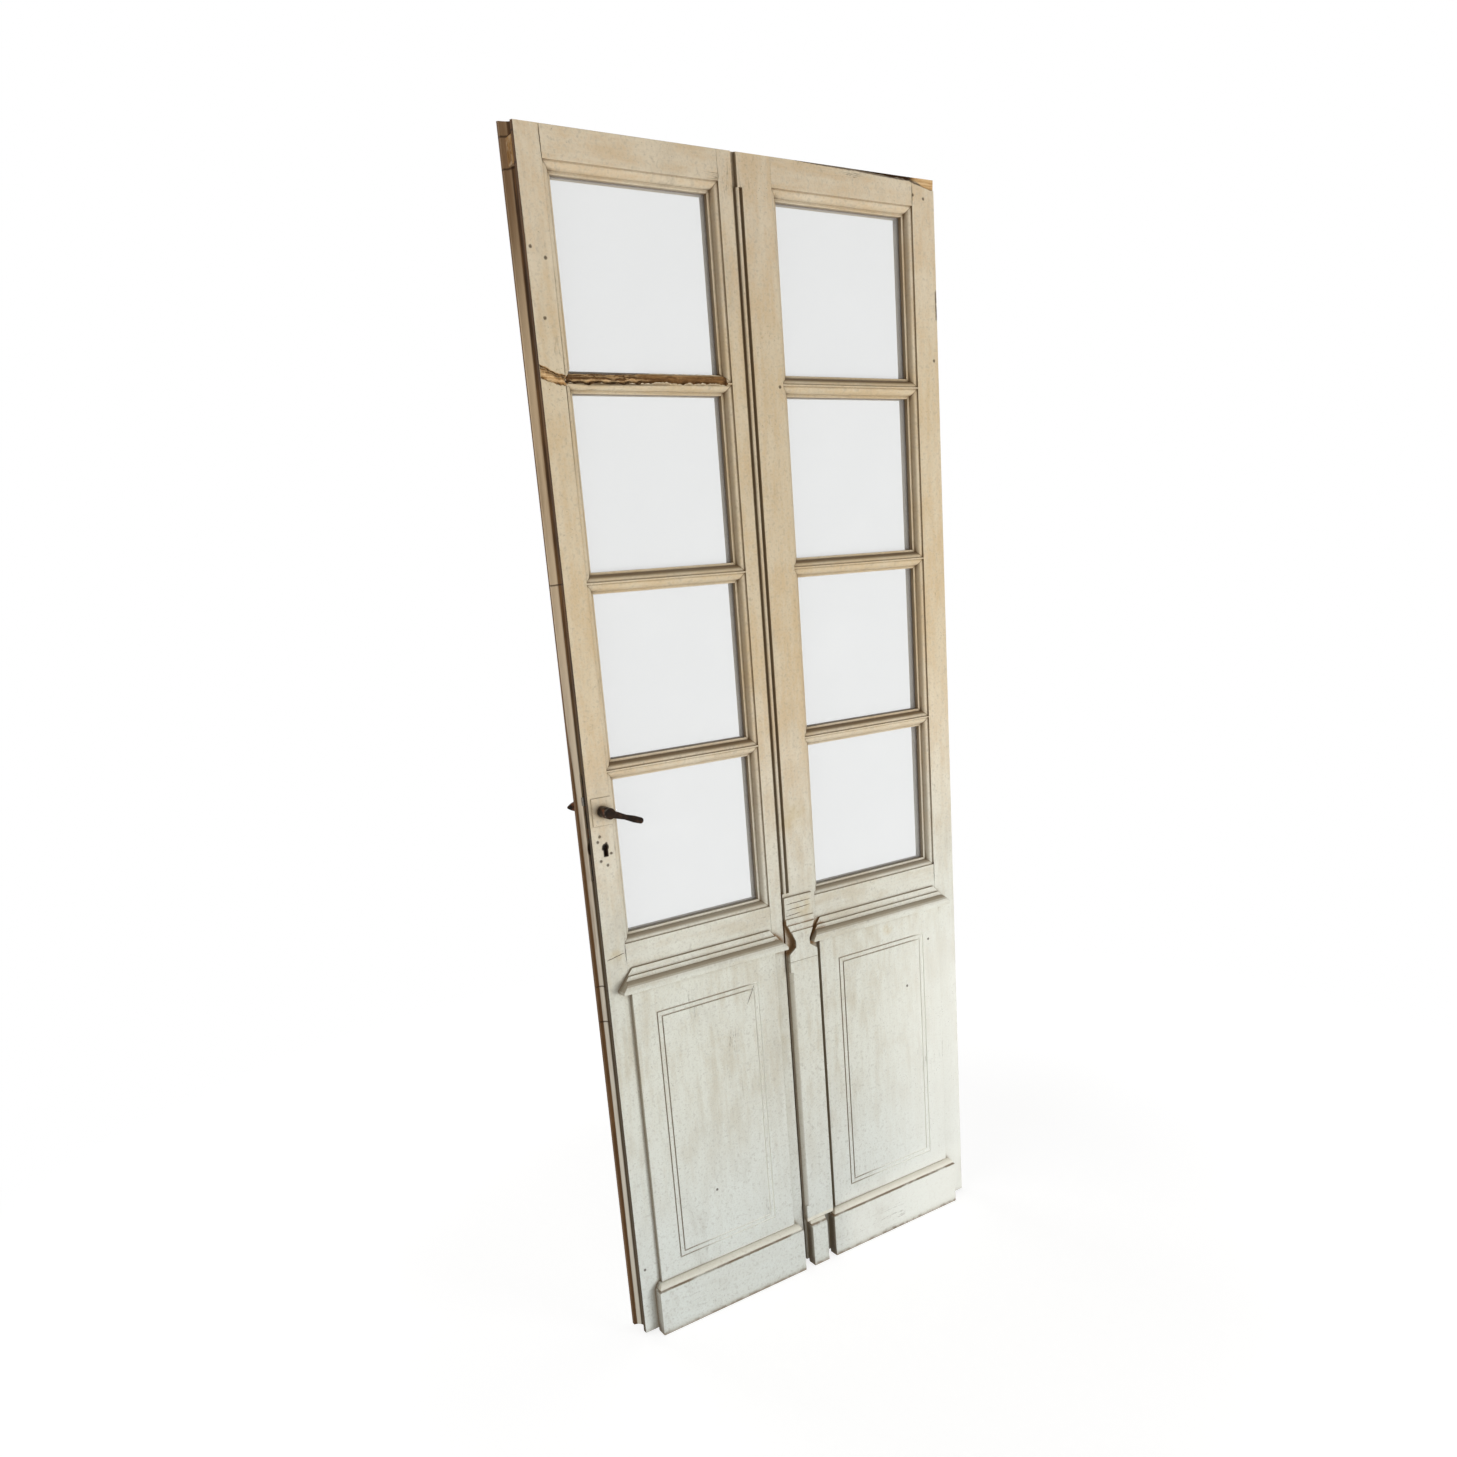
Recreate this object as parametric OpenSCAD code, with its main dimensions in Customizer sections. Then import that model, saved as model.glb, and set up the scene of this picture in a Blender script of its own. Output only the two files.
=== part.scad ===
// Pair of old glazed entrance door leaves, hinged together at the middle, in millimetres.
// X runs to the right seen from the front, Y runs to the back, Z runs up.
// The origin is the middle of the foot of the hung leaf's meeting stile.

/* [Leaves] */
// Height of both leaves
leaf_h = 2300; // [2100:10:2500]
// Thickness of both leaves
leaf_t = 50; // [46:1:60]
// Width of the lock stile's face, up to the sash moulding
lock_stile_w = 46.5; // [44:0.5:60]
// Width of the lock leaf's other stile, up to the sash moulding
fold_stile_w = 30.5; // [28:0.5:50]
// Width of the hung leaf's meeting stile, up to the sash moulding
meeting_stile_w = 84.5; // [80:0.5:110]
// Width of the hanging stile, up to the sash moulding
hanging_stile_w = 59.5; // [45:0.5:90]
// Gap between the two leaves
joint_gap = 4; // [4:0.5:6]
// Height of the top rail above the sash moulding
top_rail_h = 52; // [45:1:80]
// Height of the bottom rail
bottom_rail_h = 150; // [120:5:200]
// How much the leaves' top edge rises from front to back
top_rise = 12; // [0:1:20]

/* [Panes] */
// Daylight width of a pane
pane_w = 314.5; // [260:0.5:400]
// Thickness of the glass
glass_t = 4; // [3:0.5:6]
// Width of the flat between the two mouldings of a glazing bar
bar_flat = 3; // [2:0.5:20]

/* [Sash moulding] */
// Width of the sash moulding
mould_w = 18; // [16:0.5:24]
// Width of the quirk beside the stile
quirk_w = 2; // [1:0.5:3]
// Depth of the quirk below the face
quirk_d = 4; // [2:0.5:6]
// Radius of the ovolo
ovolo_r = 11; // [8:0.5:12]
// Depth of the glass behind the face
glass_y = 24; // [22:0.5:28]
// Width of the glazing rebate
rebate_w = 9; // [7:0.5:12]

/* [Lower panel] */
// How far the panel board stands proud of the stiles
board_proud = 9; // [8:1:18]
// How far the board runs down behind the plinth
board_lap = 50; // [20:5:70]
// Margin from the board's sides to the incised frame
incise_margin = 50; // [35:1:70]
// Margin from the plinth up to the incised frame
incise_low = 38; // [30:1:60]
// Margin from the dado down to the incised frame
incise_high = 57; // [40:1:80]
// Gap between the two incised lines
incise_gap = 11; // [6:0.5:20]
// Width and depth of an incised line
incise_w = 2.5; // [1.5:0.5:4]

/* [Dado moulding] */
// Height of the dado moulding's top
dado_z = 816; // [810:1:830]
// Height of the dado moulding
dado_h = 46; // [40:1:60]
// How far the dado's nose stands out from the face
dado_proud = 25; // [20:1:35]
// Height of the dado's nose
dado_nose_h = 6; // [5:0.5:12]
// Height of the dado's upper band
dado_band_h = 14; // [10:0.5:18]
// Height of the bead between that band and the round below
dado_bead_h = 9; // [6:0.5:12]
// How far the slanting ends are set back at the top
dado_setback = 8; // [0:1:15]
// Face of the mid rail between the dado and the sash moulding
rail_above_dado = 51; // [40:1:90]
// Part of the mid rail below the dado
rail_below_dado = 35; // [20:1:60]

/* [Plinth] */
// Height of the plinth's top
plinth_z = 110; // [100:1:140]
// How far the plinth hangs below the leaf
plinth_drop = 8; // [0:1:15]
// How far the plinth stands out from the face
plinth_proud = 24; // [20:1:32]
// How far the plinth reaches past the board at each end
plinth_return = 15; // [6:0.5:20]
// Height of the moulded top of the plinth
plinth_mould_h = 14; // [8:1:20]

/* [Astragal] */
// Width of the astragal strip
astragal_w = 74; // [66:0.5:76]
// How far the astragal stands out from the face
astragal_proud = 14; // [10:1:20]
// Width of the stopped chamfer on its left arris
chamfer_w = 10; // [5:0.5:14]
// Width of the block at its foot
block_w = 42; // [36:1:60]
// Height of the block
block_h = 104; // [90:1:130]
// Distance of the block from the meeting stile's arris
block_inset = 6; // [2:0.5:16]
// Height of the cap above the dado
cap_above = 62; // [40:1:66]
// How far the cap's pad stands out from the face
pad_proud = 5; // [3:0.5:7]
// Depth of the notch on the cap's left side
notch_d = 18; // [10:0.5:24]
// Gap beside the dado's nose in the cap's notches
notch_gap = 4; // [2:0.5:6]
// Plain length of the strip below its chamfer
chamfer_stop_low = 40; // [20:1:80]
// Plain length of the strip above its chamfer
chamfer_stop_high = 24; // [10:1:60]
// Distance of the bead from the meeting stile's arris
bead_set = 4; // [3:0.5:6]
// Diameter of the bead
bead_d = 8; // [7:0.5:11]
// Width of the quirk beside the bead
bead_quirk_w = 6; // [3:0.5:7]
// Plain length above the bead
bead_stop = 58; // [20:1:120]

/* [Lock edge] */
// Radius of the hollow in the lock edge
hollow_r = 17; // [14:0.5:18]
// Depth of the hollow
hollow_d = 9; // [6:0.5:10]
// How far the back lip stands past the front one
lip_out = 6; // [0:0.5:8]
// Thickness of the back lip
lip_t = 10; // [7:0.5:12]
// Height of the block let into the hollow near its top
edge_block_h = 43; // [30:1:60]
// Distance of that block from the leaf's top
edge_block_drop = 16; // [8:1:40]
// How far the block lies behind the front lip
edge_block_back = 2; // [1:0.5:5]

/* [Lock] */
// Height of the handle's axis
handle_z = 1138; // [1050:1:1200]
// Distance of the handle's axis and the keyhole from the front lip
lock_axis_x = 27; // [26:0.5:30]
// Drop from the handle's axis to the keyhole's eye
keyhole_drop = 70; // [65:1:85]
// Diameter of the keyhole's eye
keyhole_d = 10; // [6:0.5:12]
// Width of the keyhole's tail
keyhole_tail_w = 7; // [3:0.5:8]
// Length of the keyhole from eye to tail
keyhole_h = 24; // [20:1:32]
// Thickness of the lock case
case_t = 16; // [14:0.5:18]
// Depth of the lock case behind the faceplate
case_d = 35; // [34:0.5:38]
// Height of the lock case
case_h = 170; // [165:1:190]
// How far the middle of the lock case lies below the handle's axis
case_below = 35; // [30:1:40]
// Rise of the latch bolt above the handle's axis
latch_rise = 20; // [19:0.5:26]
// Drop of the dead bolt below the handle's axis
dead_drop = 44; // [40:1:48]
// Wall of the lock case
case_wall = 2; // [1.5:0.25:2.5]
// Thickness of the faceplate
faceplate_t = 3; // [2:0.5:4]
// Width of the faceplate
faceplate_w = 20; // [18:0.5:22]
// How far the faceplate reaches past the case at each end
faceplate_lap = 20; // [14:1:30]
// Height of the latch bolt
latch_h = 16; // [12:0.5:18]
// Thickness of the latch bolt
latch_t = 9; // [7:0.5:10]
// Throw of the latch bolt
latch_throw = 8; // [6:0.5:8]
// Height of the dead bolt
dead_h = 16; // [12:0.5:18]
// Running clearance of the bolts
bolt_clear = 0.3; // [0.2:0.05:0.5]

/* [Handles] */
// Side of the square spindle
spindle_s = 7; // [6:0.5:8]
// Diameter of the front lever's hub
hub_d = 18; // [16:0.5:20]
// How far the front lever stands out from the face
lever_out = 37; // [36:1:60]
// Length of the front lever from its axis
lever_l = 76; // [70:1:120]
// Radius of the front lever's arm at its root
arm_r = 7; // [5:0.5:8]
// Droop of the front lever below level
lever_droop = 21; // [0:1:30]
// Length of the rear knob
knob_l = 56; // [48:1:64]
// Thickness of the rear knob
knob_d = 22; // [18:0.5:26]
// How far the rear knob's middle stands off the back
knob_out = 46; // [40:1:60]
// Width of the painted plate behind the front lever
rose_w = 42; // [36:1:46]
// Height of the painted plate behind the front lever
rose_h = 54; // [40:1:60]
// Thickness of the plates on both faces
plate_t = 2.5; // [1.5:0.25:4]
// Length of the rear plate
rear_plate_h = 190; // [150:5:220]
// Width of the rear plate
rear_plate_w = 34; // [30:1:40]
// Drop of the rear plate's middle below the handle's axis
rear_plate_drop = 15; // [5:1:25]

/* [Hinges] */
// Height of a hinge
hinge_h = 110; // [90:5:140]
// Height of the lowest hinge's middle
hinge_low_z = 260; // [200:10:400]
// Distance of the highest hinge's middle from the top
hinge_from_top = 240; // [150:10:400]
// Depth of a hinge leaf let into the leaf's edge
hinge_leaf_d = 36; // [30:1:42]
// Thickness of a hinge leaf
hinge_leaf_t = 1.8; // [1.2:0.1:1.9]
// Radius of a fold hinge's knuckle
knuckle_r = 6; // [5:0.5:8]
// Radius of the fold hinge's pin
pin_r = 3; // [2.5:0.25:3.5]
// Radius of a hanging socket's bore
socket_bore_r = 5; // [4:0.25:6]
// Wall of a hanging socket
socket_wall = 3; // [2:0.25:4]
// Depth of a hanging socket's bore
socket_depth = 42; // [35:1:45]

/* [Hidden] */

// colours
paint_top = [0.80, 0.74, 0.62];
paint_low = [0.83, 0.83, 0.79];
glass_tint = [0.86, 0.90, 0.90, 0.35];
iron = [0.10, 0.08, 0.06];
steel = [0.45, 0.43, 0.40];

// fineness and small overlaps
$fn = 48;
eps = 0.5;
fit_clear = 0.3;
run_clear = 0.05;
mitre_gap = 0.1;
glass_clear = 1.5;
pane_count = 4;

// planes and columns
face = -leaf_t / 2;
back = leaf_t / 2;
inner_w = pane_w + 2 * mould_w;
meeting_x0 = -meeting_stile_w / 2;
hung_line_x0 = meeting_stile_w / 2;
hung_line_x1 = hung_line_x0 + inner_w;
hang_edge_x = hung_line_x1 + hanging_stile_w;
fold_edge_x = meeting_x0 - joint_gap;
lock_line_x1 = fold_edge_x - fold_stile_w;
lock_line_x0 = lock_line_x1 - inner_w;
lock_edge_x = lock_line_x0 - lock_stile_w;

// rows
bar_h = bar_flat + 2 * mould_w;
mid_rail_z1 = dado_z + rail_above_dado;
sill_z = mid_rail_z1 + mould_w;
top_line_z = leaf_h - top_rail_h;
pane_h = (top_line_z - mould_w - sill_z - (pane_count - 1) * bar_h) / pane_count;
bar_step = pane_h + bar_h;
dado_z0 = dado_z - dado_h;
mid_rail_z0 = dado_z0 - rail_below_dado;
board_z0 = plinth_z - board_lap;
incise_z0 = plinth_z + incise_low;
incise_z1 = dado_z0 - incise_high;
fillet_y = quirk_d + ovolo_r;

function pane_z(row) = sill_z + (row - 1) * bar_step;

// lock places
lock_x = lock_edge_x + lock_axis_x;
hollow_x = lock_edge_x + hollow_d - hollow_r;
faceplate_x = lock_edge_x + hollow_d;
case_x = faceplate_x + faceplate_t;
case_z0 = handle_z - case_below - case_h / 2;
keyhole_z = handle_z - keyhole_drop;
latch_z = handle_z + latch_rise;
dead_z = handle_z - dead_drop;
faceplate_z0 = case_z0 - faceplate_lap;
faceplate_h = case_h + 2 * faceplate_lap;
faceplate_screw_z = [faceplate_z0 + faceplate_lap / 2, faceplate_z0 + faceplate_h - faceplate_lap / 2];
spindle_hole_r = hub_d / 2;
journal_r = spindle_s;
follower_r = latch_rise - latch_h / 2 - case_wall;
spindle_end = 6;
rear_plate_z = handle_z - rear_plate_drop;

// hinge places
hinge_high_z = leaf_h - hinge_from_top;
hinge_z = [hinge_low_z, (hinge_low_z + hinge_high_z) / 2, hinge_high_z];
fold_axis = [(fold_edge_x + meeting_x0) / 2, back + knuckle_r + fit_clear];
knuckle_h = hinge_h / 3;
socket_r = socket_bore_r + socket_wall;
socket_axis = [hang_edge_x + socket_r - hinge_leaf_t, back + socket_r + fit_clear];
socket_h = socket_depth + socket_r;
screw_r = 3.6;
screw_hole_r = screw_r + run_clear;
screw_head = 1.2;
screw_slot = 1;
pin_cap_h = 4;
hinge_screw_z = [for (share = [-0.35, 0, 0.35]) share * hinge_h];
hinge_screw_y = back - hinge_leaf_d * 0.65;

// section of the sash moulding, u from the stile line to the daylight edge, v from the face back
module sash_section() {
  translate([-eps, quirk_d]) square([quirk_w + eps, ovolo_r + eps]);
  intersection() {
    translate([quirk_w, fillet_y]) circle(ovolo_r);
    translate([quirk_w - eps, quirk_d]) square([ovolo_r + eps, ovolo_r]);
  }
  translate([-eps, fillet_y]) square([mould_w + eps, glass_y - fillet_y]);
  translate([-eps, glass_y - eps]) square([mould_w - rebate_w + eps, leaf_t - glass_y + eps]);
}

// one mitred side of a pane's moulding: length along Z, daylight towards +X
module sash_side(daylight) {
  full = daylight + 2 * mould_w;
  translate([0, face, 0]) intersection() {
    linear_extrude(full) sash_section();
    translate([0, leaf_t + eps, 0]) rotate([90, 0, 0]) linear_extrude(leaf_t + 2 * eps)
      polygon([[-eps, 0], [0, 0], [mould_w, mould_w], [mould_w, full - mould_w], [0, full], [-eps, full]]);
  }
}

// the same side lying down, with daylight towards +Z
module sash_flat_side(daylight) {
  mirror([1, 0, -1]) sash_side(daylight);
}

// plank between two corners at full thickness
module plank(x0, x1, z0, z1) {
  translate([x0, face, z0]) cube([x1 - x0, leaf_t, z1 - z0]);
}

// wedge on top of a stile or rail, higher at the back
module top_slope(x0, x1) {
  translate([x0, 0, leaf_h]) rotate([90, 0, 90]) linear_extrude(x1 - x0)
    polygon([[face, -eps], [face, 0], [back, top_rise], [back, -eps]]);
}

// stile with moulded edges; side is +1 where daylight lies to the right
module moulded_stile(x0, x1, side) {
  plank(x0, x1, 0, leaf_h);
  top_slope(x0, x1);
  line_x = side > 0 ? x1 : x0;
  for (row = [1 : pane_count])
    translate([line_x, 0, pane_z(row) - mould_w]) mirror([side > 0 ? 0 : 1, 0, 0]) sash_side(pane_h);
}

module top_rail(line_x) {
  plank(line_x, line_x + inner_w, top_line_z, leaf_h);
  top_slope(line_x, line_x + inner_w);
  translate([line_x, 0, top_line_z]) mirror([0, 0, 1]) sash_flat_side(pane_w);
}

module mid_rail(line_x) {
  plank(line_x, line_x + inner_w, mid_rail_z0, mid_rail_z1);
  translate([line_x, 0, mid_rail_z1]) sash_flat_side(pane_w);
}

// bar above the pane in the given row
module glazing_bar(line_x, row) {
  z0 = pane_z(row) + pane_h + mould_w;
  plank(line_x, line_x + inner_w, z0, z0 + bar_flat);
  translate([line_x, 0, z0]) mirror([0, 0, 1]) sash_flat_side(pane_w);
  translate([line_x, 0, z0 + bar_flat]) sash_flat_side(pane_w);
}

module pane(line_x, row) {
  lap = rebate_w - glass_clear;
  translate([line_x + mould_w - lap, face + glass_y, pane_z(row) - lap])
    cube([pane_w + 2 * lap, glass_t, pane_h + 2 * lap]);
}

// four mitred beads that hold one pane from behind
module pane_beads(line_x, row) {
  bead_y = face + glass_y + glass_t;
  bead_t = leaf_t - glass_y - glass_t;
  module bead(daylight) {
    full = daylight + 2 * rebate_w;
    intersection() {
      linear_extrude(full) polygon([[0, 0], [rebate_w, 0], [rebate_w, bead_t - rebate_w], [0, bead_t]]);
      translate([0, bead_t + eps, 0]) rotate([90, 0, 0]) linear_extrude(bead_t + 2 * eps)
        polygon([[0, mitre_gap], [rebate_w, rebate_w + mitre_gap],
                 [rebate_w, full - rebate_w - mitre_gap], [0, full - mitre_gap]]);
    }
  }
  translate([line_x + mould_w - rebate_w, bead_y, pane_z(row) - rebate_w]) {
    bead(pane_h);
    translate([pane_w + 2 * rebate_w, 0, 0]) mirror([1, 0, 0]) bead(pane_h);
    mirror([1, 0, -1]) bead(pane_w);
    translate([0, 0, pane_h + 2 * rebate_w]) mirror([0, 0, 1]) mirror([1, 0, -1]) bead(pane_w);
  }
}

// rectangular line frame cut into the board
module incised_frame(x0, x1, z0, z1) {
  translate([0, face - board_proud + incise_w, 0]) rotate([90, 0, 0]) linear_extrude(incise_w + eps)
    difference() {
      translate([x0, z0]) square([x1 - x0, z1 - z0]);
      translate([x0 + incise_w, z0 + incise_w]) square([x1 - x0 - 2 * incise_w, z1 - z0 - 2 * incise_w]);
    }
}

// panel core between the rails with the proud board in front of it
module panel_board(line_x) {
  difference() {
    union() {
      plank(line_x, line_x + inner_w, bottom_rail_h, mid_rail_z0);
      translate([line_x, face - board_proud, board_z0])
        cube([inner_w, board_proud + eps, dado_z0 - board_z0]);
    }
    translate([line_x - eps, face, 0]) cube([inner_w + 2 * eps, leaf_t, bottom_rail_h]);
    translate([line_x - eps, face, mid_rail_z0]) cube([inner_w + 2 * eps, leaf_t, leaf_h]);
    for (inset = [0, incise_gap])
      incised_frame(line_x + incise_margin + inset, line_x + inner_w - incise_margin - inset,
                    incise_z0 + inset, incise_z1 - inset);
  }
}

// block whose ends return with the same profile as its front
// profile is a list of [proud, z]; the last point is followed by the wall
module returned_moulding(x0, x1, profile, z_low, z_high) {
  left_side = [for (p = profile) [x0 - p[0], p[1]]];
  right_side = [for (i = [len(profile) - 1 : -1 : 0]) [x1 + profile[i][0], profile[i][1]]];
  front_side = [for (p = profile) [face - p[0], p[1]]];
  reach = 2 * plinth_proud;
  intersection() {
    translate([x0 - reach, 0, 0]) rotate([90, 0, 90]) linear_extrude(x1 - x0 + 2 * reach)
      polygon(concat(front_side, [[face, z_high], [face, z_low]]));
    translate([0, face + eps, 0]) rotate([90, 0, 0]) linear_extrude(reach)
      polygon(concat(left_side, right_side));
  }
}

// band, bead, quarter round and nose of the dado, from the bottom up
dado_ledge = dado_proud / 5;
dado_round_z = dado_z - dado_band_h - dado_bead_h;
dado_profile = concat(
  [[dado_proud, dado_z0], [dado_proud, dado_z0 + dado_nose_h]],
  [for (a = [75 : -15 : 0])
    [2 * dado_ledge + (dado_proud - 2 * dado_ledge) * sin(a),
     dado_z0 + dado_nose_h + (dado_round_z - dado_z0 - dado_nose_h) * cos(a)]],
  [[2 * dado_ledge, dado_z - dado_band_h], [dado_ledge, dado_z - dado_band_h], [dado_ledge, dado_z]]);

// dado between two slanting ends, which reach out as far as its nose
module dado(line_x) {
  nose_z1 = dado_z0 + dado_nose_h;
  low_x0 = line_x - dado_proud;
  low_x1 = line_x + inner_w + dado_proud;
  intersection() {
    translate([low_x0, 0, 0]) rotate([90, 0, 90]) linear_extrude(low_x1 - low_x0)
      polygon(concat([for (p = dado_profile) [face - p[0], p[1]]], [[face, dado_z], [face, dado_z0]]));
    translate([0, face + eps, 0]) rotate([90, 0, 0]) linear_extrude(dado_proud + 2 * eps)
      polygon([[low_x0, dado_z0], [low_x0, nose_z1], [line_x + dado_setback, dado_z],
               [line_x + inner_w - dado_setback, dado_z], [low_x1, nose_z1], [low_x1, dado_z0]]);
  }
}

// plain plinth with a quirk and a quarter round under the board
plinth_quirk = 3;
plinth_round = plinth_proud - plinth_quirk - board_proud;
plinth_profile = concat(
  [[plinth_proud, -plinth_drop], [plinth_proud, plinth_z - plinth_mould_h]],
  [for (a = [0 : 15 : 90])
    [board_proud + plinth_round * cos(a), plinth_z - plinth_mould_h * (1 - sin(a))]]);

module plinth(line_x) {
  inset = plinth_proud - plinth_return;
  difference() {
    returned_moulding(line_x + inset, line_x + inner_w - inset, plinth_profile, -plinth_drop, plinth_z);
    translate([line_x, face - board_proud, board_z0]) cube([inner_w, board_proud + eps, plinth_z]);
  }
}

module glazing_beads(line_x) {
  for (row = [1 : pane_count]) pane_beads(line_x, row);
}

// lock leaf
module lock_stile() {
  color(paint_top) difference() {
    union() {
      moulded_stile(lock_edge_x, lock_line_x0, 1);
      back_lip();
    }
    translate([hollow_x, 0, -eps]) cylinder(r = hollow_r, h = leaf_h + top_rise + 2 * eps);
    lock_pocket();
    translate([lock_x, face - eps, handle_z]) rotate([-90, 0, 0])
      cylinder(r = spindle_hole_r, h = leaf_t + 2 * eps);
    keyhole(face - eps, leaf_t + 2 * eps);
  }
}

// lip along the back of the lock edge, with the leaf's sloped top
module back_lip() {
  intersection() {
    union() {
      plank(lock_edge_x - lip_out, lock_edge_x + eps, 0, leaf_h);
      top_slope(lock_edge_x - lip_out, lock_edge_x + eps);
    }
    translate([lock_edge_x - lip_out, back - lip_t, 0]) cube([lip_out + eps, lip_t, leaf_h + top_rise]);
  }
}

// block that fills the hollow near its top
module edge_block() {
  color(paint_top) translate([0, 0, leaf_h - edge_block_drop - edge_block_h]) intersection() {
    translate([hollow_x, 0, 0]) cylinder(r = hollow_r - run_clear, h = edge_block_h);
    translate([lock_edge_x + edge_block_back, face, 0]) cube([hollow_d, leaf_t, edge_block_h]);
  }
}

// room for the lock case and its faceplate in the lock stile
module lock_pocket() {
  translate([lock_edge_x - hollow_r, -faceplate_w / 2, faceplate_z0])
    cube([hollow_r + hollow_d + faceplate_t, faceplate_w, faceplate_h]);
  translate([case_x - eps, -case_t / 2, case_z0]) cube([case_d + eps, case_t, case_h]);
}

// keyhole with its eye up, cut along Y
module keyhole(y0, depth) {
  translate([lock_x, y0, keyhole_z]) rotate([-90, 0, 0]) cylinder(d = keyhole_d, h = depth);
  translate([lock_x - keyhole_tail_w / 2, y0, keyhole_z - keyhole_h + keyhole_d / 2])
    cube([keyhole_tail_w, depth, keyhole_h - keyhole_d / 2]);
}

module fold_stile() { color(paint_top) moulded_stile(lock_line_x1, fold_edge_x, -1); }
module lock_top_rail() { color(paint_top) top_rail(lock_line_x0); }
module lock_mid_rail() { color(paint_low) mid_rail(lock_line_x0); }
module lock_bar(row) { color(paint_top) glazing_bar(lock_line_x0, row); }
module lock_bottom_rail() { color(paint_low) plank(lock_line_x0, lock_line_x1, 0, bottom_rail_h); }
module lock_panel() { color(paint_low) panel_board(lock_line_x0); }
module lock_dado() { color(paint_low) dado(lock_line_x0); }
module lock_plinth() { color(paint_low) plinth(lock_line_x0); }
module lock_pane(row) { color(glass_tint) pane(lock_line_x0, row); }
module lock_glazing_beads() { color(paint_top) glazing_beads(lock_line_x0); }

// hung leaf
module meeting_stile() {
  bead_x = meeting_x0 + bead_set;
  bead_z0 = cap_z1 + bead_d;
  bead_z1 = leaf_h - bead_stop;
  color(paint_top) difference() {
    moulded_stile(meeting_x0, hung_line_x0, 1);
    translate([0, 0, bead_z0]) linear_extrude(bead_z1 - bead_z0) {
      translate([meeting_x0 - eps, face - eps]) square([bead_set + eps, bead_d + eps]);
      translate([bead_x + bead_d, face - eps]) square([bead_quirk_w, bead_d + eps]);
      difference() {
        translate([bead_x - eps, face - eps]) square([bead_d + 2 * eps, bead_d / 2 + eps]);
        translate([bead_x + bead_d / 2, face + bead_d / 2]) circle(d = bead_d);
      }
    }
    translate([meeting_x0 - eps, face - eps, bead_z1 - eps])
      cube([bead_set + bead_d / 2 + eps, bead_d + eps, bead_stop + top_rise + 2 * eps]);
  }
}

module hanging_stile() {
  color(paint_top) difference() {
    moulded_stile(hung_line_x1, hang_edge_x, -1);
    for (z = hinge_z) translate([hang_edge_x - hinge_leaf_t, back - hinge_leaf_d, z - hinge_h / 2])
      cube([hinge_leaf_t + eps, hinge_leaf_d + eps, hinge_h]);
  }
}

module hung_top_rail() { color(paint_top) top_rail(hung_line_x0); }
module hung_mid_rail() { color(paint_low) mid_rail(hung_line_x0); }
module hung_bar(row) { color(paint_top) glazing_bar(hung_line_x0, row); }
module hung_bottom_rail() { color(paint_low) plank(hung_line_x0, hung_line_x1, 0, bottom_rail_h); }
module hung_panel() { color(paint_low) panel_board(hung_line_x0); }
module hung_dado() { color(paint_low) dado(hung_line_x0); }
module hung_plinth() { color(paint_low) plinth(hung_line_x0); }
module hung_pane(row) { color(glass_tint) pane(hung_line_x0, row); }
module hung_glazing_beads() { color(paint_top) glazing_beads(hung_line_x0); }

// astragal on the meeting stile: cap, strip and block, one above the other
cap_z0 = mid_rail_z0;
cap_z1 = dado_z + cap_above;
strip_z0 = block_h;
astragal_x1 = meeting_x0 + astragal_w;
cap_ledge = (astragal_proud - pad_proud) / 3;

// slanting notch beside a dado nose, from its tip out to the astragal's side
module dado_notch(tip_x, side_x) {
  translate([0, face + eps, 0]) rotate([90, 0, 0]) linear_extrude(2 * dado_proud)
    polygon([[tip_x, dado_z0 - notch_gap], [tip_x, dado_z0 + dado_nose_h + notch_gap],
             [side_x, dado_z + notch_gap], [side_x, dado_z0 - rail_below_dado / 2]]);
}

module astragal_strip() {
  stop_z0 = strip_z0 + chamfer_stop_low;
  stop_z1 = cap_z0 - chamfer_stop_high;
  color(paint_low) difference() {
    translate([meeting_x0, face - astragal_proud, strip_z0])
      cube([astragal_w, astragal_proud, cap_z0 - strip_z0]);
    translate([meeting_x0, face - astragal_proud, stop_z0]) rotate([0, 0, 45])
      translate([-chamfer_w / 2, -chamfer_w, 0]) cube([chamfer_w, 2 * chamfer_w, stop_z1 - stop_z0]);
  }
}

// flat pad with three ledges that step out to the strip's face
module astragal_cap() {
  color(paint_low) difference() {
    union() {
      translate([meeting_x0, face - pad_proud, cap_z0])
        cube([astragal_w, pad_proud, cap_z1 - cap_z0]);
      for (i = [1 : 3]) translate([meeting_x0, face - pad_proud - cap_ledge * i, cap_z0])
        cube([astragal_w, cap_ledge * i + eps, dado_z - (i - 2) * dado_band_h - cap_z0]);
    }
    dado_notch(meeting_x0 + notch_d, meeting_x0 - eps);
    dado_notch(hung_line_x0 - dado_proud - notch_gap, astragal_x1 + eps);
  }
}

module astragal_block() {
  color(paint_low) translate([meeting_x0 + block_inset, face, 0]) rotate([90, 0, 90]) linear_extrude(block_w)
    polygon([[0, -plinth_drop], [-plinth_proud, -plinth_drop], [-plinth_proud, block_h - plinth_mould_h],
             [-astragal_proud, block_h], [0, block_h]]);
}

// lock
module lock_case() {
  color(steel) difference() {
    translate([case_x, -case_t / 2, case_z0]) cube([case_d, case_t, case_h]);
    translate([case_x - eps, -case_t / 2 + case_wall, case_z0 + case_wall])
      cube([case_d - case_wall + eps, case_t - 2 * case_wall, case_h - 2 * case_wall]);
    translate([lock_x, -case_t, handle_z]) rotate([-90, 0, 0]) cylinder(r = journal_r, h = 2 * case_t);
    keyhole(-case_t, 2 * case_t);
  }
}

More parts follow.
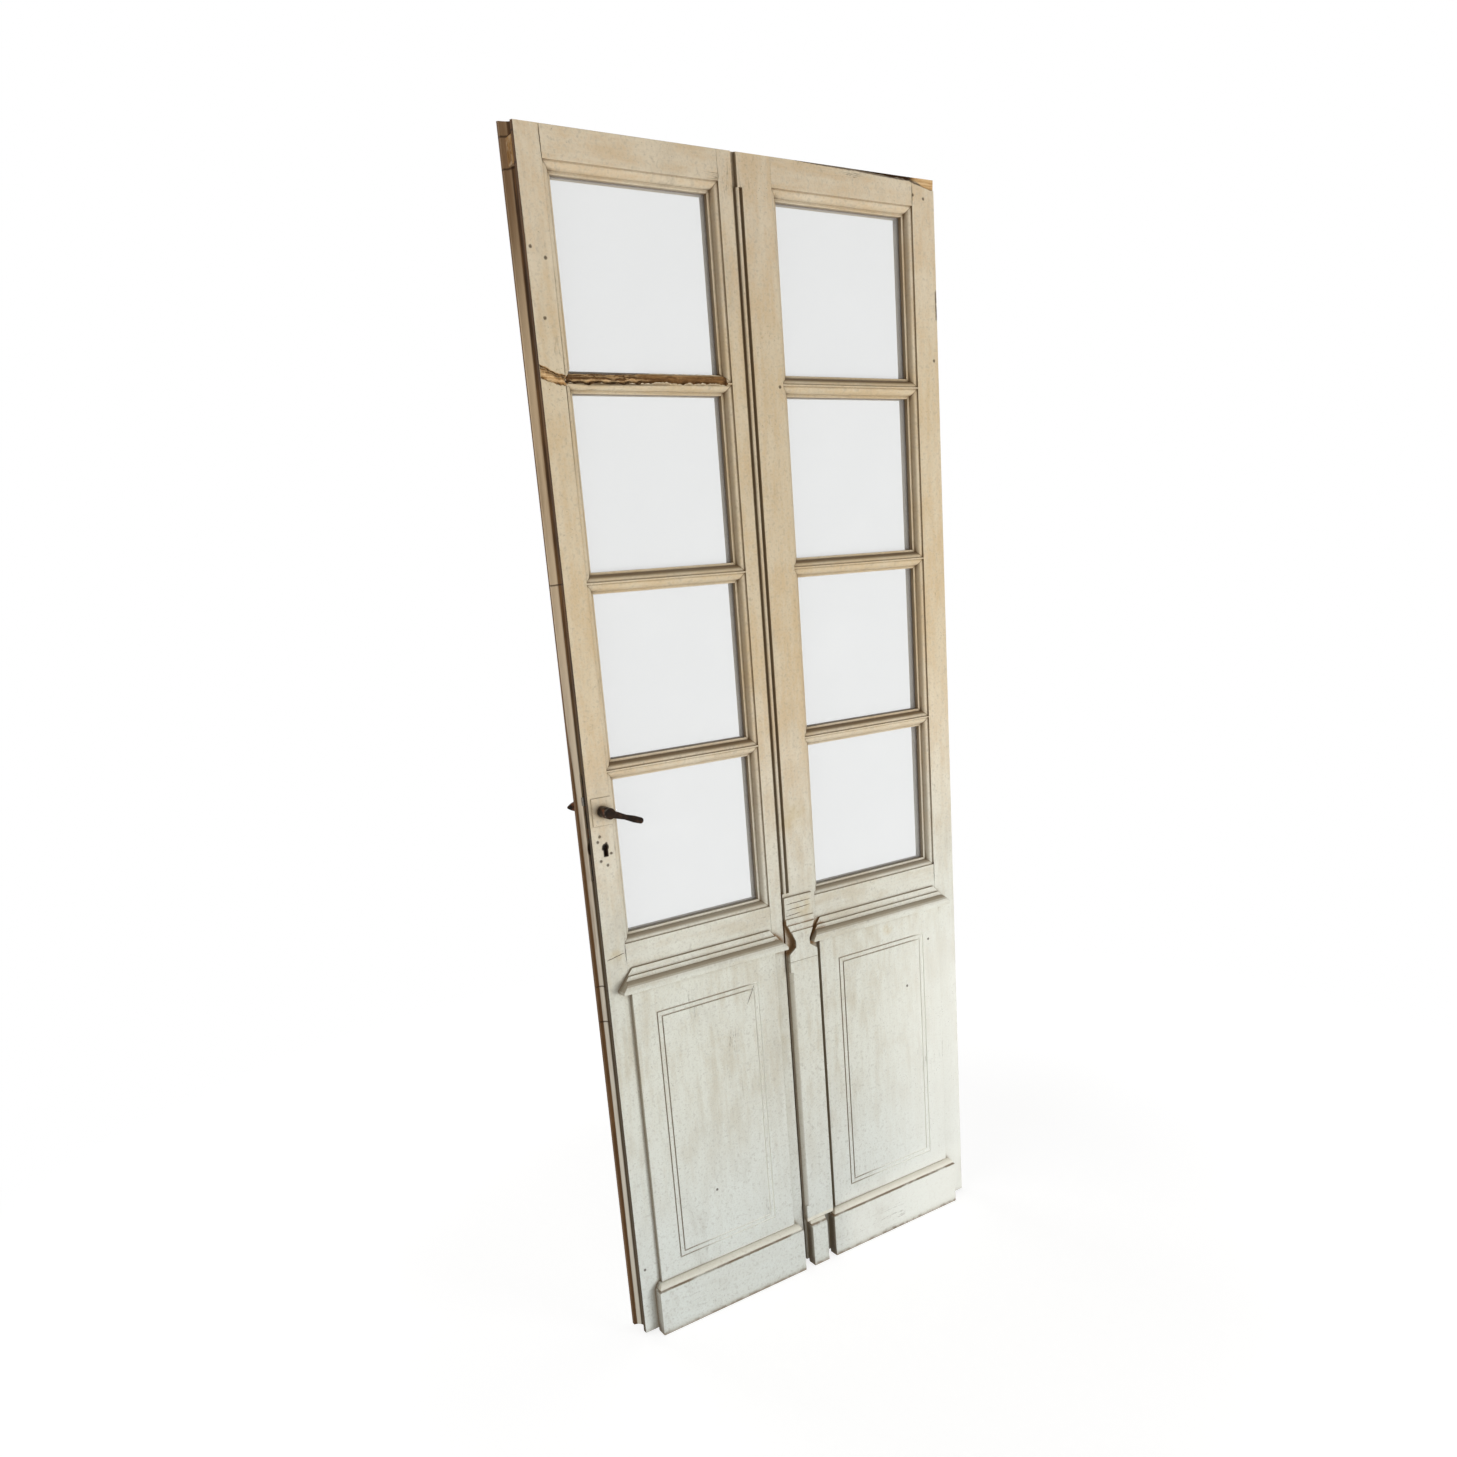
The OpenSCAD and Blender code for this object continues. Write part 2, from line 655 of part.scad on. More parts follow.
module lock_faceplate() {
  color(iron) difference() {
    translate([faceplate_x, -faceplate_w / 2, faceplate_z0]) cube([faceplate_t, faceplate_w, faceplate_h]);
    bolt_way(latch_z, latch_h, latch_t);
    bolt_way(dead_z, dead_h, latch_t);
    for (z = faceplate_screw_z) translate([faceplate_x - eps, 0, z]) rotate([0, 90, 0])
      cylinder(r = screw_hole_r, h = faceplate_t + 2 * eps);
  }
}

// slot for a bolt through the faceplate
module bolt_way(z, h, t) {
  translate([faceplate_x - eps, -t / 2 - bolt_clear, z - h / 2 - bolt_clear])
    cube([faceplate_t + 2 * eps, t + 2 * bolt_clear, h + 2 * bolt_clear]);
}

module lock_screws() {
  color(steel) for (z = faceplate_screw_z) translate([faceplate_x, 0, z]) rotate([0, 90, 0])
    slotted_head(faceplate_t);
}

// flush screw head with a slot, rising along Z from its outer face
module slotted_head(h) {
  difference() {
    cylinder(r = screw_r, h = h);
    translate([-screw_r, -screw_slot / 2, -eps]) cube([2 * screw_r, screw_slot, screw_head / 2 + eps]);
  }
}

module latch_bolt() {
  tail = case_d - case_wall - latch_throw - 3 * bolt_clear;
  color(steel) difference() {
    translate([faceplate_x - latch_throw, -latch_t / 2, latch_z - latch_h / 2])
      cube([latch_throw + faceplate_t + tail, latch_t, latch_h]);
    translate([faceplate_x - latch_throw, latch_t / 2, latch_z - latch_h / 2 - eps])
      rotate([0, 0, -45]) translate([-latch_throw, 0, 0])
        cube([2 * latch_throw, latch_throw, latch_h + 2 * eps]);
  }
}

module dead_bolt() {
  tail = case_d - case_wall - 3 * bolt_clear;
  color(steel) difference() {
    translate([faceplate_x, -latch_t / 2, dead_z - dead_h / 2]) cube([faceplate_t + tail, latch_t, dead_h]);
    translate([lock_x, -latch_t, dead_z - dead_h / 2 - eps]) cube([keyhole_d, 2 * latch_t, dead_h / 3 + eps]);
  }
}

// disc that draws the latch, running on its two journals in the walls of the case
module lock_follower() {
  disc_t = case_t - 2 * case_wall - 2 * fit_clear;
  color(steel) translate([lock_x, -case_t / 2, handle_z]) difference() {
    rotate([-90, 0, 0]) {
      cylinder(r = journal_r - run_clear, h = case_t);
      translate([0, 0, (case_t - disc_t) / 2]) cylinder(r = follower_r, h = disc_t);
    }
    spindle_hole(case_t);
  }
}

// square hole for the spindle, cut along Y
module spindle_hole(depth) {
  translate([-spindle_s / 2, -eps, -spindle_s / 2]) cube([spindle_s, depth + 2 * eps, spindle_s]);
}

module spindle() {
  y0 = face - lever_out + spindle_end;
  y1 = back + knob_out - spindle_end;
  color(steel) translate([lock_x - spindle_s / 2, y0, handle_z - spindle_s / 2])
    cube([spindle_s, y1 - y0, spindle_s]);
}

// hub with a drooping arm that narrows and swells again at its tip
module front_lever() {
  hub_y0 = face - lever_out;
  hub_l = lever_out - plate_t - fit_clear;
  arm = [[0, arm_r], [0.16, 0.75 * arm_r], [0.48, 0.45 * arm_r], [0.74, 0.68 * arm_r], [0.93, 0.6 * arm_r]];
  color(iron) translate([lock_x, hub_y0, handle_z]) difference() {
    union() {
      rotate([-90, 0, 0]) cylinder(d = hub_d, h = hub_l);
      rotate([0, lever_droop, 0]) for (i = [0 : len(arm) - 2]) hull() {
        arm_ball(arm[i]);
        arm_ball(arm[i + 1]);
      }
    }
    translate([0, spindle_end, 0]) spindle_hole(hub_l);
  }
}

// one round section of the lever's arm: [share of the length, radius]
module arm_ball(section) {
  translate([section[0] * lever_l, arm_r, 0]) sphere(r = section[1], $fn = 24);
}

// olive knob on a turned neck behind the leaf
module rear_knob() {
  neck_l = knob_out - plate_t - fit_clear;
  arc_r = (pow(knob_l / 2, 2) + pow(knob_d / 2, 2)) / knob_d;
  color(iron) translate([lock_x, back + plate_t + fit_clear, handle_z]) difference() {
    union() {
      rotate([-90, 0, 0]) cylinder(d1 = hub_d, d2 = hub_d * 0.7, h = neck_l);
      translate([0, neck_l, 0]) rotate([0, 90, 0]) rotate_extrude() intersection() {
        translate([knob_d / 2 - arc_r, 0]) circle(arc_r, $fn = 128);
        translate([0, -0.47 * knob_l]) square([knob_d, 0.94 * knob_l]);
      }
    }
    translate([0, -spindle_end, 0]) spindle_hole(neck_l);
  }
}

module front_rose() {
  color(paint_top) difference() {
    translate([lock_x - rose_w / 2, face - plate_t, handle_z - rose_h / 2]) cube([rose_w, plate_t, rose_h]);
    translate([lock_x, face - plate_t - eps, handle_z]) rotate([-90, 0, 0])
      cylinder(r = spindle_hole_r, h = plate_t + 2 * eps);
  }
}

// long rear plate with rounded ends, a spindle hole and a keyhole
module rear_plate() {
  color(iron) difference() {
    translate([lock_x, back, rear_plate_z]) rotate([-90, 0, 0]) linear_extrude(plate_t) {
      square([rear_plate_w, rear_plate_h - rear_plate_w], center = true);
      for (side = [-1, 1]) translate([0, side * (rear_plate_h - rear_plate_w) / 2]) circle(d = rear_plate_w);
    }
    translate([lock_x, back - eps, handle_z]) rotate([-90, 0, 0])
      cylinder(r = spindle_hole_r, h = plate_t + 2 * eps);
    keyhole(back - eps, plate_t + 2 * eps);
  }
}

module rear_plate_screws() {
  color(steel) for (side = [-1, 1])
    translate([lock_x, back + plate_t + screw_head, rear_plate_z + side * (rear_plate_h / 2 - 3 * screw_r)])
      rotate([90, 0, 0]) slotted_head(screw_head);
}

// butt hinges of the fold, knuckles behind the leaves
module fold_hinge_half(edge_x, side, knuckles) {
  for (z = hinge_z) translate([0, 0, z - hinge_h / 2]) difference() {
    union() {
      translate([side > 0 ? edge_x - hinge_leaf_t : edge_x, back - hinge_leaf_d, 0])
        cube([hinge_leaf_t, hinge_leaf_d - knuckle_r, hinge_h]);
      for (k = knuckles) translate([0, 0, k * knuckle_h + run_clear]) {
        translate([fold_axis[0], fold_axis[1], 0]) cylinder(r = knuckle_r, h = knuckle_h - 2 * run_clear);
        translate([side > 0 ? edge_x - hinge_leaf_t : edge_x, back - hinge_leaf_d, 0])
          cube([hinge_leaf_t, hinge_leaf_d + knuckle_r, knuckle_h - 2 * run_clear]);
      }
    }
    translate([fold_axis[0], fold_axis[1], -eps]) cylinder(r = pin_r + run_clear, h = hinge_h + 2 * eps);
    for (s = hinge_screw_z) translate([fold_edge_x - eps, hinge_screw_y, hinge_h / 2 + s]) rotate([0, 90, 0])
      cylinder(r = screw_hole_r, h = joint_gap + 2 * eps);
  }
}

module fold_hinge_lock_halves() { color(iron) fold_hinge_half(fold_edge_x, -1, [1]); }
module fold_hinge_hung_halves() { color(iron) fold_hinge_half(meeting_x0, 1, [0, 2]); }

module fold_hinge_pins() {
  color(iron) for (z = hinge_z) translate([fold_axis[0], fold_axis[1], z - hinge_h / 2]) {
    cylinder(r = pin_r, h = hinge_h);
    translate([0, 0, hinge_h - run_clear]) cylinder(r1 = knuckle_r, r2 = pin_r, h = pin_cap_h);
  }
}

// countersunk screws of one hinge half, their slots in the joint
module edge_screws(edge_x, side) {
  color(steel) for (z = hinge_z, s = hinge_screw_z)
    translate([edge_x + side * hinge_leaf_t, hinge_screw_y, z + s]) rotate([0, -side * 90, 0])
      slotted_head(hinge_leaf_t);
}

module fold_hinge_lock_screws() { edge_screws(fold_edge_x, 1); }
module fold_hinge_hung_screws() { edge_screws(meeting_x0, -1); }

// lift-off hinge sockets on the hanging edge, open below for the frame's pins
module hanging_sockets() {
  color(iron) for (z = hinge_z) translate([0, 0, z - hinge_h / 2]) difference() {
    union() {
      translate([hang_edge_x - hinge_leaf_t, back - hinge_leaf_d, 0])
        cube([hinge_leaf_t, hinge_leaf_d + fit_clear, hinge_h]);
      translate([hang_edge_x - hinge_leaf_t, back - eps, hinge_h - socket_h])
        cube([hinge_leaf_t, socket_r + eps, socket_h]);
      translate([socket_axis[0], socket_axis[1], hinge_h - socket_h]) cylinder(r = socket_r, h = socket_h);
    }
    translate([socket_axis[0], socket_axis[1], hinge_h - socket_h - eps])
      cylinder(r = socket_bore_r, h = socket_depth + eps);
    for (s = hinge_screw_z)
      translate([hang_edge_x - hinge_leaf_t - eps, hinge_screw_y, hinge_h / 2 + s])
        rotate([0, 90, 0]) cylinder(r = screw_hole_r, h = hinge_leaf_t + 2 * eps);
  }
}

module hanging_socket_screws() { edge_screws(hang_edge_x - hinge_leaf_t, 1); }

lock_stile();
edge_block();
fold_stile();
lock_top_rail();
lock_bar(1);  // lock_bar_1
lock_bar(2);  // lock_bar_2
lock_bar(3);  // lock_bar_3
lock_mid_rail();
lock_bottom_rail();
lock_panel();
lock_dado();
lock_plinth();
lock_pane(1);  // lock_pane_1
lock_pane(2);  // lock_pane_2
lock_pane(3);  // lock_pane_3
lock_pane(4);  // lock_pane_4
lock_glazing_beads();
meeting_stile();
hanging_stile();
hung_top_rail();
hung_bar(1);  // hung_bar_1
hung_bar(2);  // hung_bar_2
hung_bar(3);  // hung_bar_3
hung_mid_rail();
hung_bottom_rail();
hung_panel();
hung_dado();
hung_plinth();
hung_pane(1);  // hung_pane_1
hung_pane(2);  // hung_pane_2
hung_pane(3);  // hung_pane_3
hung_pane(4);  // hung_pane_4
hung_glazing_beads();
astragal_strip();
astragal_cap();
astragal_block();
lock_case();
lock_faceplate();
lock_screws();
latch_bolt();
dead_bolt();
lock_follower();
spindle();
front_lever();
rear_knob();
front_rose();
rear_plate();
rear_plate_screws();
fold_hinge_lock_halves();
fold_hinge_hung_halves();
fold_hinge_pins();
fold_hinge_lock_screws();
fold_hinge_hung_screws();
hanging_sockets();
hanging_socket_screws();
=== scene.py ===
"""Looks of an old pair of painted door leaves: cream paint over wood, iron lock, plain glass.

Lengths are in metres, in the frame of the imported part: X right, Y to the back, Z up.
"""

import math
from functools import reduce

import bpy
from mathutils import Matrix, Vector, noise


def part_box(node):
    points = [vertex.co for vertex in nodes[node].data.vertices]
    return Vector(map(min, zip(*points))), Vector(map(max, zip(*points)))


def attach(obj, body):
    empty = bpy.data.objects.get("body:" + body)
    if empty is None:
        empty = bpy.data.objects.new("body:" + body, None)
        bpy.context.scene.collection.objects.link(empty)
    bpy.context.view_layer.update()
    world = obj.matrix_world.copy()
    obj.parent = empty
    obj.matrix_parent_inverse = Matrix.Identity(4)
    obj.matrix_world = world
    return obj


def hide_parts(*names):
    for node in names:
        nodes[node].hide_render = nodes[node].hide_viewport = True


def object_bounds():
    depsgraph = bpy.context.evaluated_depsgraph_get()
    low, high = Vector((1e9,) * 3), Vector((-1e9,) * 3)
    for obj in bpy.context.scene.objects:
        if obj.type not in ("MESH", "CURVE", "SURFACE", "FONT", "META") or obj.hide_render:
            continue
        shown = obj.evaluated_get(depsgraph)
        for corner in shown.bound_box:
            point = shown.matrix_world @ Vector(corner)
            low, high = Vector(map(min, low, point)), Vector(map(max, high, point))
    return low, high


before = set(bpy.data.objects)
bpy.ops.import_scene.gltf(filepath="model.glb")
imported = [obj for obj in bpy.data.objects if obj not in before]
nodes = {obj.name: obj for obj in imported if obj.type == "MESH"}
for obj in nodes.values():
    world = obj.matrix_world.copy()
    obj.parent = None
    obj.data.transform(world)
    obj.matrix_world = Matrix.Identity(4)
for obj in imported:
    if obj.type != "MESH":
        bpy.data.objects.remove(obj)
cad_low, cad_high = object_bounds()

# Sizes that the boxes of the nodes don't give
TOP_RISE = 0.012
LIP_LENGTH = 0.006
LIP_Y = 0.015
KEYHOLE_DROP = 0.070
PLINTH_ROUND = 0.014

# Places taken from the frame
TOP_ARRIS_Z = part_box("meeting_stile")[1].z - TOP_RISE
FACE_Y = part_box("meeting_stile")[0].y
BOARD_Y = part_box("lock_panel")[0].y
LOCK_EDGE_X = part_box("lock_stile")[0].x + LIP_LENGTH
HANG_EDGE_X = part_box("hanging_stile")[1].x
LOCK_JOINT_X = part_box("lock_top_rail")[0].x
HUNG_JOINT_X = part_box("hung_top_rail")[1].x
HUNG_BOARD_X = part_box("hung_panel")[0].x
SPINDLE_LOW, SPINDLE_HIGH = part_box("spindle")
KEYHOLE_X = (SPINDLE_LOW.x + SPINDLE_HIGH.x) / 2
KEYHOLE_Z = (SPINDLE_LOW.z + SPINDLE_HIGH.z) / 2 - KEYHOLE_DROP
CAP_LOW, CAP_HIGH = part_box("astragal_cap")
ROSE_LOW, ROSE_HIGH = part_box("front_rose")
DADO_FOOT_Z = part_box("hung_dado")[0].z
FOOT_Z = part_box("lock_plinth")[0].z
PLINTH_LINE_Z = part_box("lock_plinth")[1].z - PLINTH_ROUND

# The camera of the photograph, found from the corners of the panes
CAMERA_PLACE = Vector((-1.40015, -1.9899, 1.5475))
CAMERA_RIGHT = Vector((0.83515, -0.54454, -0.07741))
CAMERA_DOWN = Vector((-0.20312, -0.17455, -0.96347))
CAMERA_FORWARD = Vector((0.51114, 0.82037, -0.25638))
FOCAL_PIXELS = 1155.9
IMAGE_PIXELS = 1457
AXIS_PIXEL_Y = 886
SENSOR_WIDTH = 36.0


def srgb(red, green, blue):
    """A colour given in 0 to 255, as linear values with alpha."""
    def linear(value):
        share = value / 255
        return share / 12.92 if share <= 0.04045 else ((share + 0.055) / 1.055) ** 2.4
    return (linear(red), linear(green), linear(blue), 1.0)


WARM_PAINT = srgb(213, 191, 158)
PALE_PAINT = srgb(222, 208, 183)
COOL_PAINT = srgb(218, 219, 208)
DULL_PAINT = srgb(203, 199, 183)
# Painted light: cold daylight at the foot, a paler lit cream, and a highlight on the plinths
FOOT_PAINT = srgb(219, 225, 222)
PAINTED_LIGHT_CREAM = srgb(238, 238, 230)
PLINTH_HIGHLIGHT_CREAM = srgb(236, 226, 202)
GRIME_AND_SHADE = srgb(84, 66, 44)
DUST_AND_SHADE_BROWN = srgb(112, 90, 62)
DUST_AND_SHADE_GREY = srgb(146, 133, 112)
# Dirt and painted shade in grooves, painted shade in pockets, painted light in a quirk
GROOVE_BROWN = srgb(116, 92, 62)
POCKET_BROWN = srgb(126, 96, 62)
QUIRK_TAN = srgb(206, 178, 132)
STAIN_YELLOW = srgb(190, 168, 118)
OLD_WOOD = srgb(122, 88, 54)
DARK_WOOD = srgb(58, 40, 24)
RAW_WOOD = srgb(190, 146, 94)
PALE_RAW_WOOD = srgb(232, 200, 152)
EDGE_TAN = srgb(216, 190, 154)
EDGE_CREAM = srgb(226, 219, 202)
EDGE_OLIVE = srgb(74, 65, 48)
ROSE_PAINT = srgb(217, 203, 176)
IRON_BLACK = srgb(34, 28, 24)
IRON_BROWN = srgb(72, 50, 34)
RUST = srgb(122, 66, 32)
STEEL_GREY = srgb(132, 128, 120)
GLASS_TINT = srgb(200, 203, 203)
WHITE = srgb(255, 255, 255)
NEAR_FLOOR = (1.42, 1.42, 1.42, 1.0)
FLOOR_GREY = (0.82, 0.82, 0.82, 1.0)
ROOM_LIGHT = (1.0, 0.985, 0.96, 1.0)


class Value:
    """One output of a tree's nodes; arithmetic on it adds Math nodes."""

    def __init__(self, shades, socket):
        self.shades = shades
        self.socket = socket

    def output(self, name):
        """Another output of the same node."""
        return Value(self.shades, self.socket.node.outputs[name])

    def math(self, operation, *terms):
        return self.shades.node("ShaderNodeMath", {"operation": operation}, dict(enumerate(terms)))

    def __add__(self, other):
        return self.math("ADD", self, other)

    def __sub__(self, other):
        return self.math("SUBTRACT", self, other)

    def __rsub__(self, other):
        return self.math("SUBTRACT", other, self)

    def __mul__(self, other):
        return self.math("MULTIPLY", self, other)

    def __abs__(self):
        return self.math("ABSOLUTE", self)

    __radd__ = __add__
    __rmul__ = __mul__

    def greatest(self, other):
        return self.math("MAXIMUM", self, other)

    def ramp(self, start, end):
        """0 at start and before it, 1 at end and past it, smooth between; start may be the larger one."""
        return self.shades.node(
            "ShaderNodeMapRange", {"interpolation_type": "SMOOTHSTEP", "clamp": True},
            {"Value": self, "From Min": start, "From Max": end, "To Min": 0.0, "To Max": 1.0})


class Tree:
    """The nodes of one tree, with the one method that makes them."""

    def __init__(self, tree):
        self.tree = tree
        tree.nodes.clear()

    def node(self, kind, settings=None, sockets=None, out=0):
        made = self.tree.nodes.new(kind)
        for name, value in (settings or {}).items():
            setattr(made, name, value)
        for name, value in (sockets or {}).items():
            if isinstance(value, Value):
                self.tree.links.new(value.socket, made.inputs[name])
            else:
                made.inputs[name].default_value = value
        return Value(self, made.outputs[out]) if made.outputs else made


class Shades(Tree):
    """The nodes of one material or of the world."""

    def __init__(self, owner):
        owner.use_nodes = True
        self.owner = owner
        super().__init__(owner.node_tree)

    def seen_by_eye(self):
        """1 for what the camera sees straight, in a mirror or through glass."""
        seen = self.node("ShaderNodeLightPath", out="Is Camera Ray")
        return seen.greatest(seen.output("Is Glossy Ray")).greatest(seen.output("Is Transmission Ray"))


class Finish(Shades):
    """A procedural material that varies with the place in the frame."""

    def __init__(self, name):
        super().__init__(bpy.data.materials.new(name))
        self.place = self.node("ShaderNodeTexCoord", out="Object")
        self.x = self.node("ShaderNodeSeparateXYZ", {}, {"Vector": self.place})
        self.y = self.x.output("Y")
        self.z = self.x.output("Z")

    def vector(self, operation, *terms, out="Vector"):
        return self.node("ShaderNodeVectorMath", {"operation": operation}, dict(enumerate(terms)), out)

    def mix(self, low, high, share):
        """A colour from low, at share 0, to high, at share 1."""
        return self.node("ShaderNodeMix", {"data_type": "RGBA"}, {0: share, 6: low, 7: high}, out=2)

    def noise(self, scale, detail=4.0, roughness=0.55, along=None):
        where = self.place if along is None else self.vector("MULTIPLY", self.place, along)
        return self.node("ShaderNodeTexNoise", {},
                         {"Vector": where, "Scale": scale, "Detail": detail, "Roughness": roughness})

    def cells(self, scale):
        return self.node("ShaderNodeTexVoronoi", {"feature": "F1"}, {"Vector": self.place, "Scale": scale},
                         out="Distance")

    def crevices(self, reach):
        """1 in the open, towards 0 in a corner or groove closer than reach."""
        return self.node("ShaderNodeAmbientOcclusion", {"samples": 8}, {"Distance": reach}, out="AO")

    def arris(self, radius):
        """How much a rounding of that radius would turn the surface: over 0 beside an edge."""
        rounded = self.node("ShaderNodeBevel", {"samples": 4}, {"Radius": radius})
        flat = self.node("ShaderNodeNewGeometry", out="True Normal")
        return 1 - self.vector("DOT_PRODUCT", rounded, flat, out="Value")

    def facing(self, axis):
        """The share of one axis in the surface's direction."""
        normal = self.node("ShaderNodeNewGeometry", out="Normal")
        return self.node("ShaderNodeSeparateXYZ", {}, {"Vector": normal}, out=axis)

    def front_half(self):
        """1 on the front half of the thickness, 0 on the back half."""
        return self.y.ramp(MIDDLE_FADE, -MIDDLE_FADE)

    def seen_flat(self):
        """The place with its depth left out."""
        return self.vector("MULTIPLY", self.place, FLAT)

    def away_from(self, x, z, flat_place):
        """How far a flat place is from one point of the front."""
        return self.vector("DISTANCE", flat_place, (x, 0.0, z), out="Value")

    def bump(self, height, strength, distance):
        return self.node("ShaderNodeBump", {},
                         {"Height": height, "Strength": strength, "Distance": distance}, out="Normal")

    def surface(self, sockets):
        shader = self.node("ShaderNodeBsdfPrincipled", {}, sockets)
        self.node("ShaderNodeOutputMaterial", {}, {"Surface": shader})
        return self.owner


# Grain that runs up the stiles and along the rails
UPRIGHT = (1.0, 1.0, 0.06)
UPRIGHT_SMEAR = (1.0, 1.0, 0.35)
LEVEL = (0.06, 1.0, 1.0)

# What leaves the depth out of a place, and how softly the front half of the thickness ends
FLAT = (1.0, 0.0, 1.0)
MIDDLE_FADE = 0.004

# Old marks on the front: X and Z of nail holes, of stains with a radius, and of both ends of cracks
NAIL_RADIUS = 0.0042
NAIL_HOLES = [(0.4229, 2.2632), (0.3950, 2.2680), (0.0339, 1.8995), (0.359, 0.6934), (0.2886, 0.5944),
              (-0.2723, 0.272), (-0.4607, 0.1484), (0.440, 1.9574), (-0.4532, 2.0015), (-0.4442, 1.0750),
              (-0.4520, 1.0650), (-0.4455, 1.0320), (-0.4660, 2.1120), (-0.4400, 2.0960),
              (KEYHOLE_X - 0.0150, KEYHOLE_Z + 0.0120), (KEYHOLE_X - 0.0100, KEYHOLE_Z + 0.0220),
              (KEYHOLE_X - 0.0120, KEYHOLE_Z - 0.0260), (KEYHOLE_X + 0.0110, KEYHOLE_Z - 0.0140)]
STAINS = [(0.2356, 0.7444, 0.020), (0.0043, 1.0521, 0.040), (-0.020, 1.035, 0.028), (-0.445, 1.905, 0.026),
          (0.010, 0.850, 0.040), (-0.450, 0.846, 0.022)]
FINE = 0.0012
WIDE = 0.0026
CRACKS = [((-0.137, 0.7085), (-0.1586, 0.6689), FINE),
          ((LOCK_JOINT_X, 2.2440), (LOCK_JOINT_X - 0.001, 2.2990), FINE),
          ((HUNG_JOINT_X, 2.2470), (HUNG_JOINT_X + 0.001, 2.2850), FINE),
          ((LOCK_JOINT_X, 0.8300), (LOCK_JOINT_X, 0.8680), FINE),
          ((HUNG_JOINT_X, 0.8250), (HUNG_JOINT_X, 0.8720), FINE),
          ((-0.4700, 0.8420), (-0.4290, 0.8500), FINE),
          ((0.1000, TOP_ARRIS_Z), (0.3000, TOP_ARRIS_Z - 0.002), WIDE),
          ((0.2400, TOP_ARRIS_Z - 0.002), (0.4000, TOP_ARRIS_Z - 0.007), WIDE),
          ((0.3850, TOP_ARRIS_Z - 0.007), (0.4420, TOP_ARRIS_Z - 0.017), WIDE),
          ((CAP_LOW.x + 0.003, CAP_HIGH.z - 0.015), (CAP_HIGH.x - 0.004, CAP_HIGH.z - 0.014), FINE),
          ((CAP_LOW.x + 0.004, CAP_HIGH.z - 0.028), (CAP_HIGH.x - 0.006, CAP_HIGH.z - 0.026), FINE),
          ((CAP_LOW.x + 0.002, CAP_HIGH.z - 0.041), (CAP_HIGH.x - 0.030, CAP_HIGH.z - 0.039), FINE)]
# X and Z of the painted shade in the hollows beside the cap, with a radius
SHADED_POCKETS = [(CAP_LOW.x + 0.004, DADO_FOOT_Z + 0.018, 0.046),
                (HUNG_BOARD_X - 0.018, DADO_FOOT_Z + 0.022, 0.040)]
BEHIND_CAP_Y = (FACE_Y - 0.0130, FACE_Y - 0.0100)
EDGE_RUST_Z = (2.037, 2.093)
EDGE_RUST_WIDTH = 0.006
EDGE_RUST_FADE = 0.004
MARK_WOBBLE = (0.0022, 0.0, 0.0022)
MIDDLE_GREY = (0.5, 0.5, 0.5)

# How far apart the walls of a corner, a pocket, a seam, a tear and a groove may be for dirt and painted shade
# to darken them
CORNER_REACH = 0.030
POCKET_REACH = 0.020
SEAM_REACH = 0.012
TEAR_REACH = 0.007
GROOVE_REACH = 0.006

# Places between which the paint changes, from none of a change to all of it
WARM_Z = (0.70, 1.35)
# Painted cold daylight: bluer, paler paint towards the foot
BLUISH_Z = (0.60, 0.10)
YELLOWED_Z = (1.10, 1.40)
YELLOWED_END_Z = (2.20, 1.90)
BESIDE_JOINT_X = (0.34, 0.04)
# Painted light: where the paint turns paler low on the right, and on the plinths of the right leaf
LIT_LOW_RIGHT_X = (0.10, 0.46)
LIT_LOW_RIGHT_Z = (1.00, 0.55)
PALE_PLINTH_X = (0.03, 0.10)
PALE_PLINTH_Z = (0.16, 0.10)
SCUFFED_Z = (FOOT_Z + 0.011, FOOT_Z + 0.001)
LEDGE_DUST_Z = (0.22, 0.40)
TOP_EDGE_Z = (TOP_ARRIS_Z - 0.010, TOP_ARRIS_Z)
# Above these heights the dust and the painted shade are browner
BROWN_DUST_AND_SHADE_Z = (0.85, 1.10)
PLINTH_Y = (BOARD_Y - 0.0004, BOARD_Y - 0.0012)
PLINTH_ROUND_Z = (PLINTH_LINE_Z, PLINTH_LINE_Z + 0.002)
PLINTH_ROUND_END_Z = (PLINTH_LINE_Z + 0.019, PLINTH_LINE_Z + 0.015)
PLINTH_LINE_HALF = (0.0030, 0.0010)
WORN_ARRIS = 0.0022
WORN_IRON_ARRIS = 0.0012


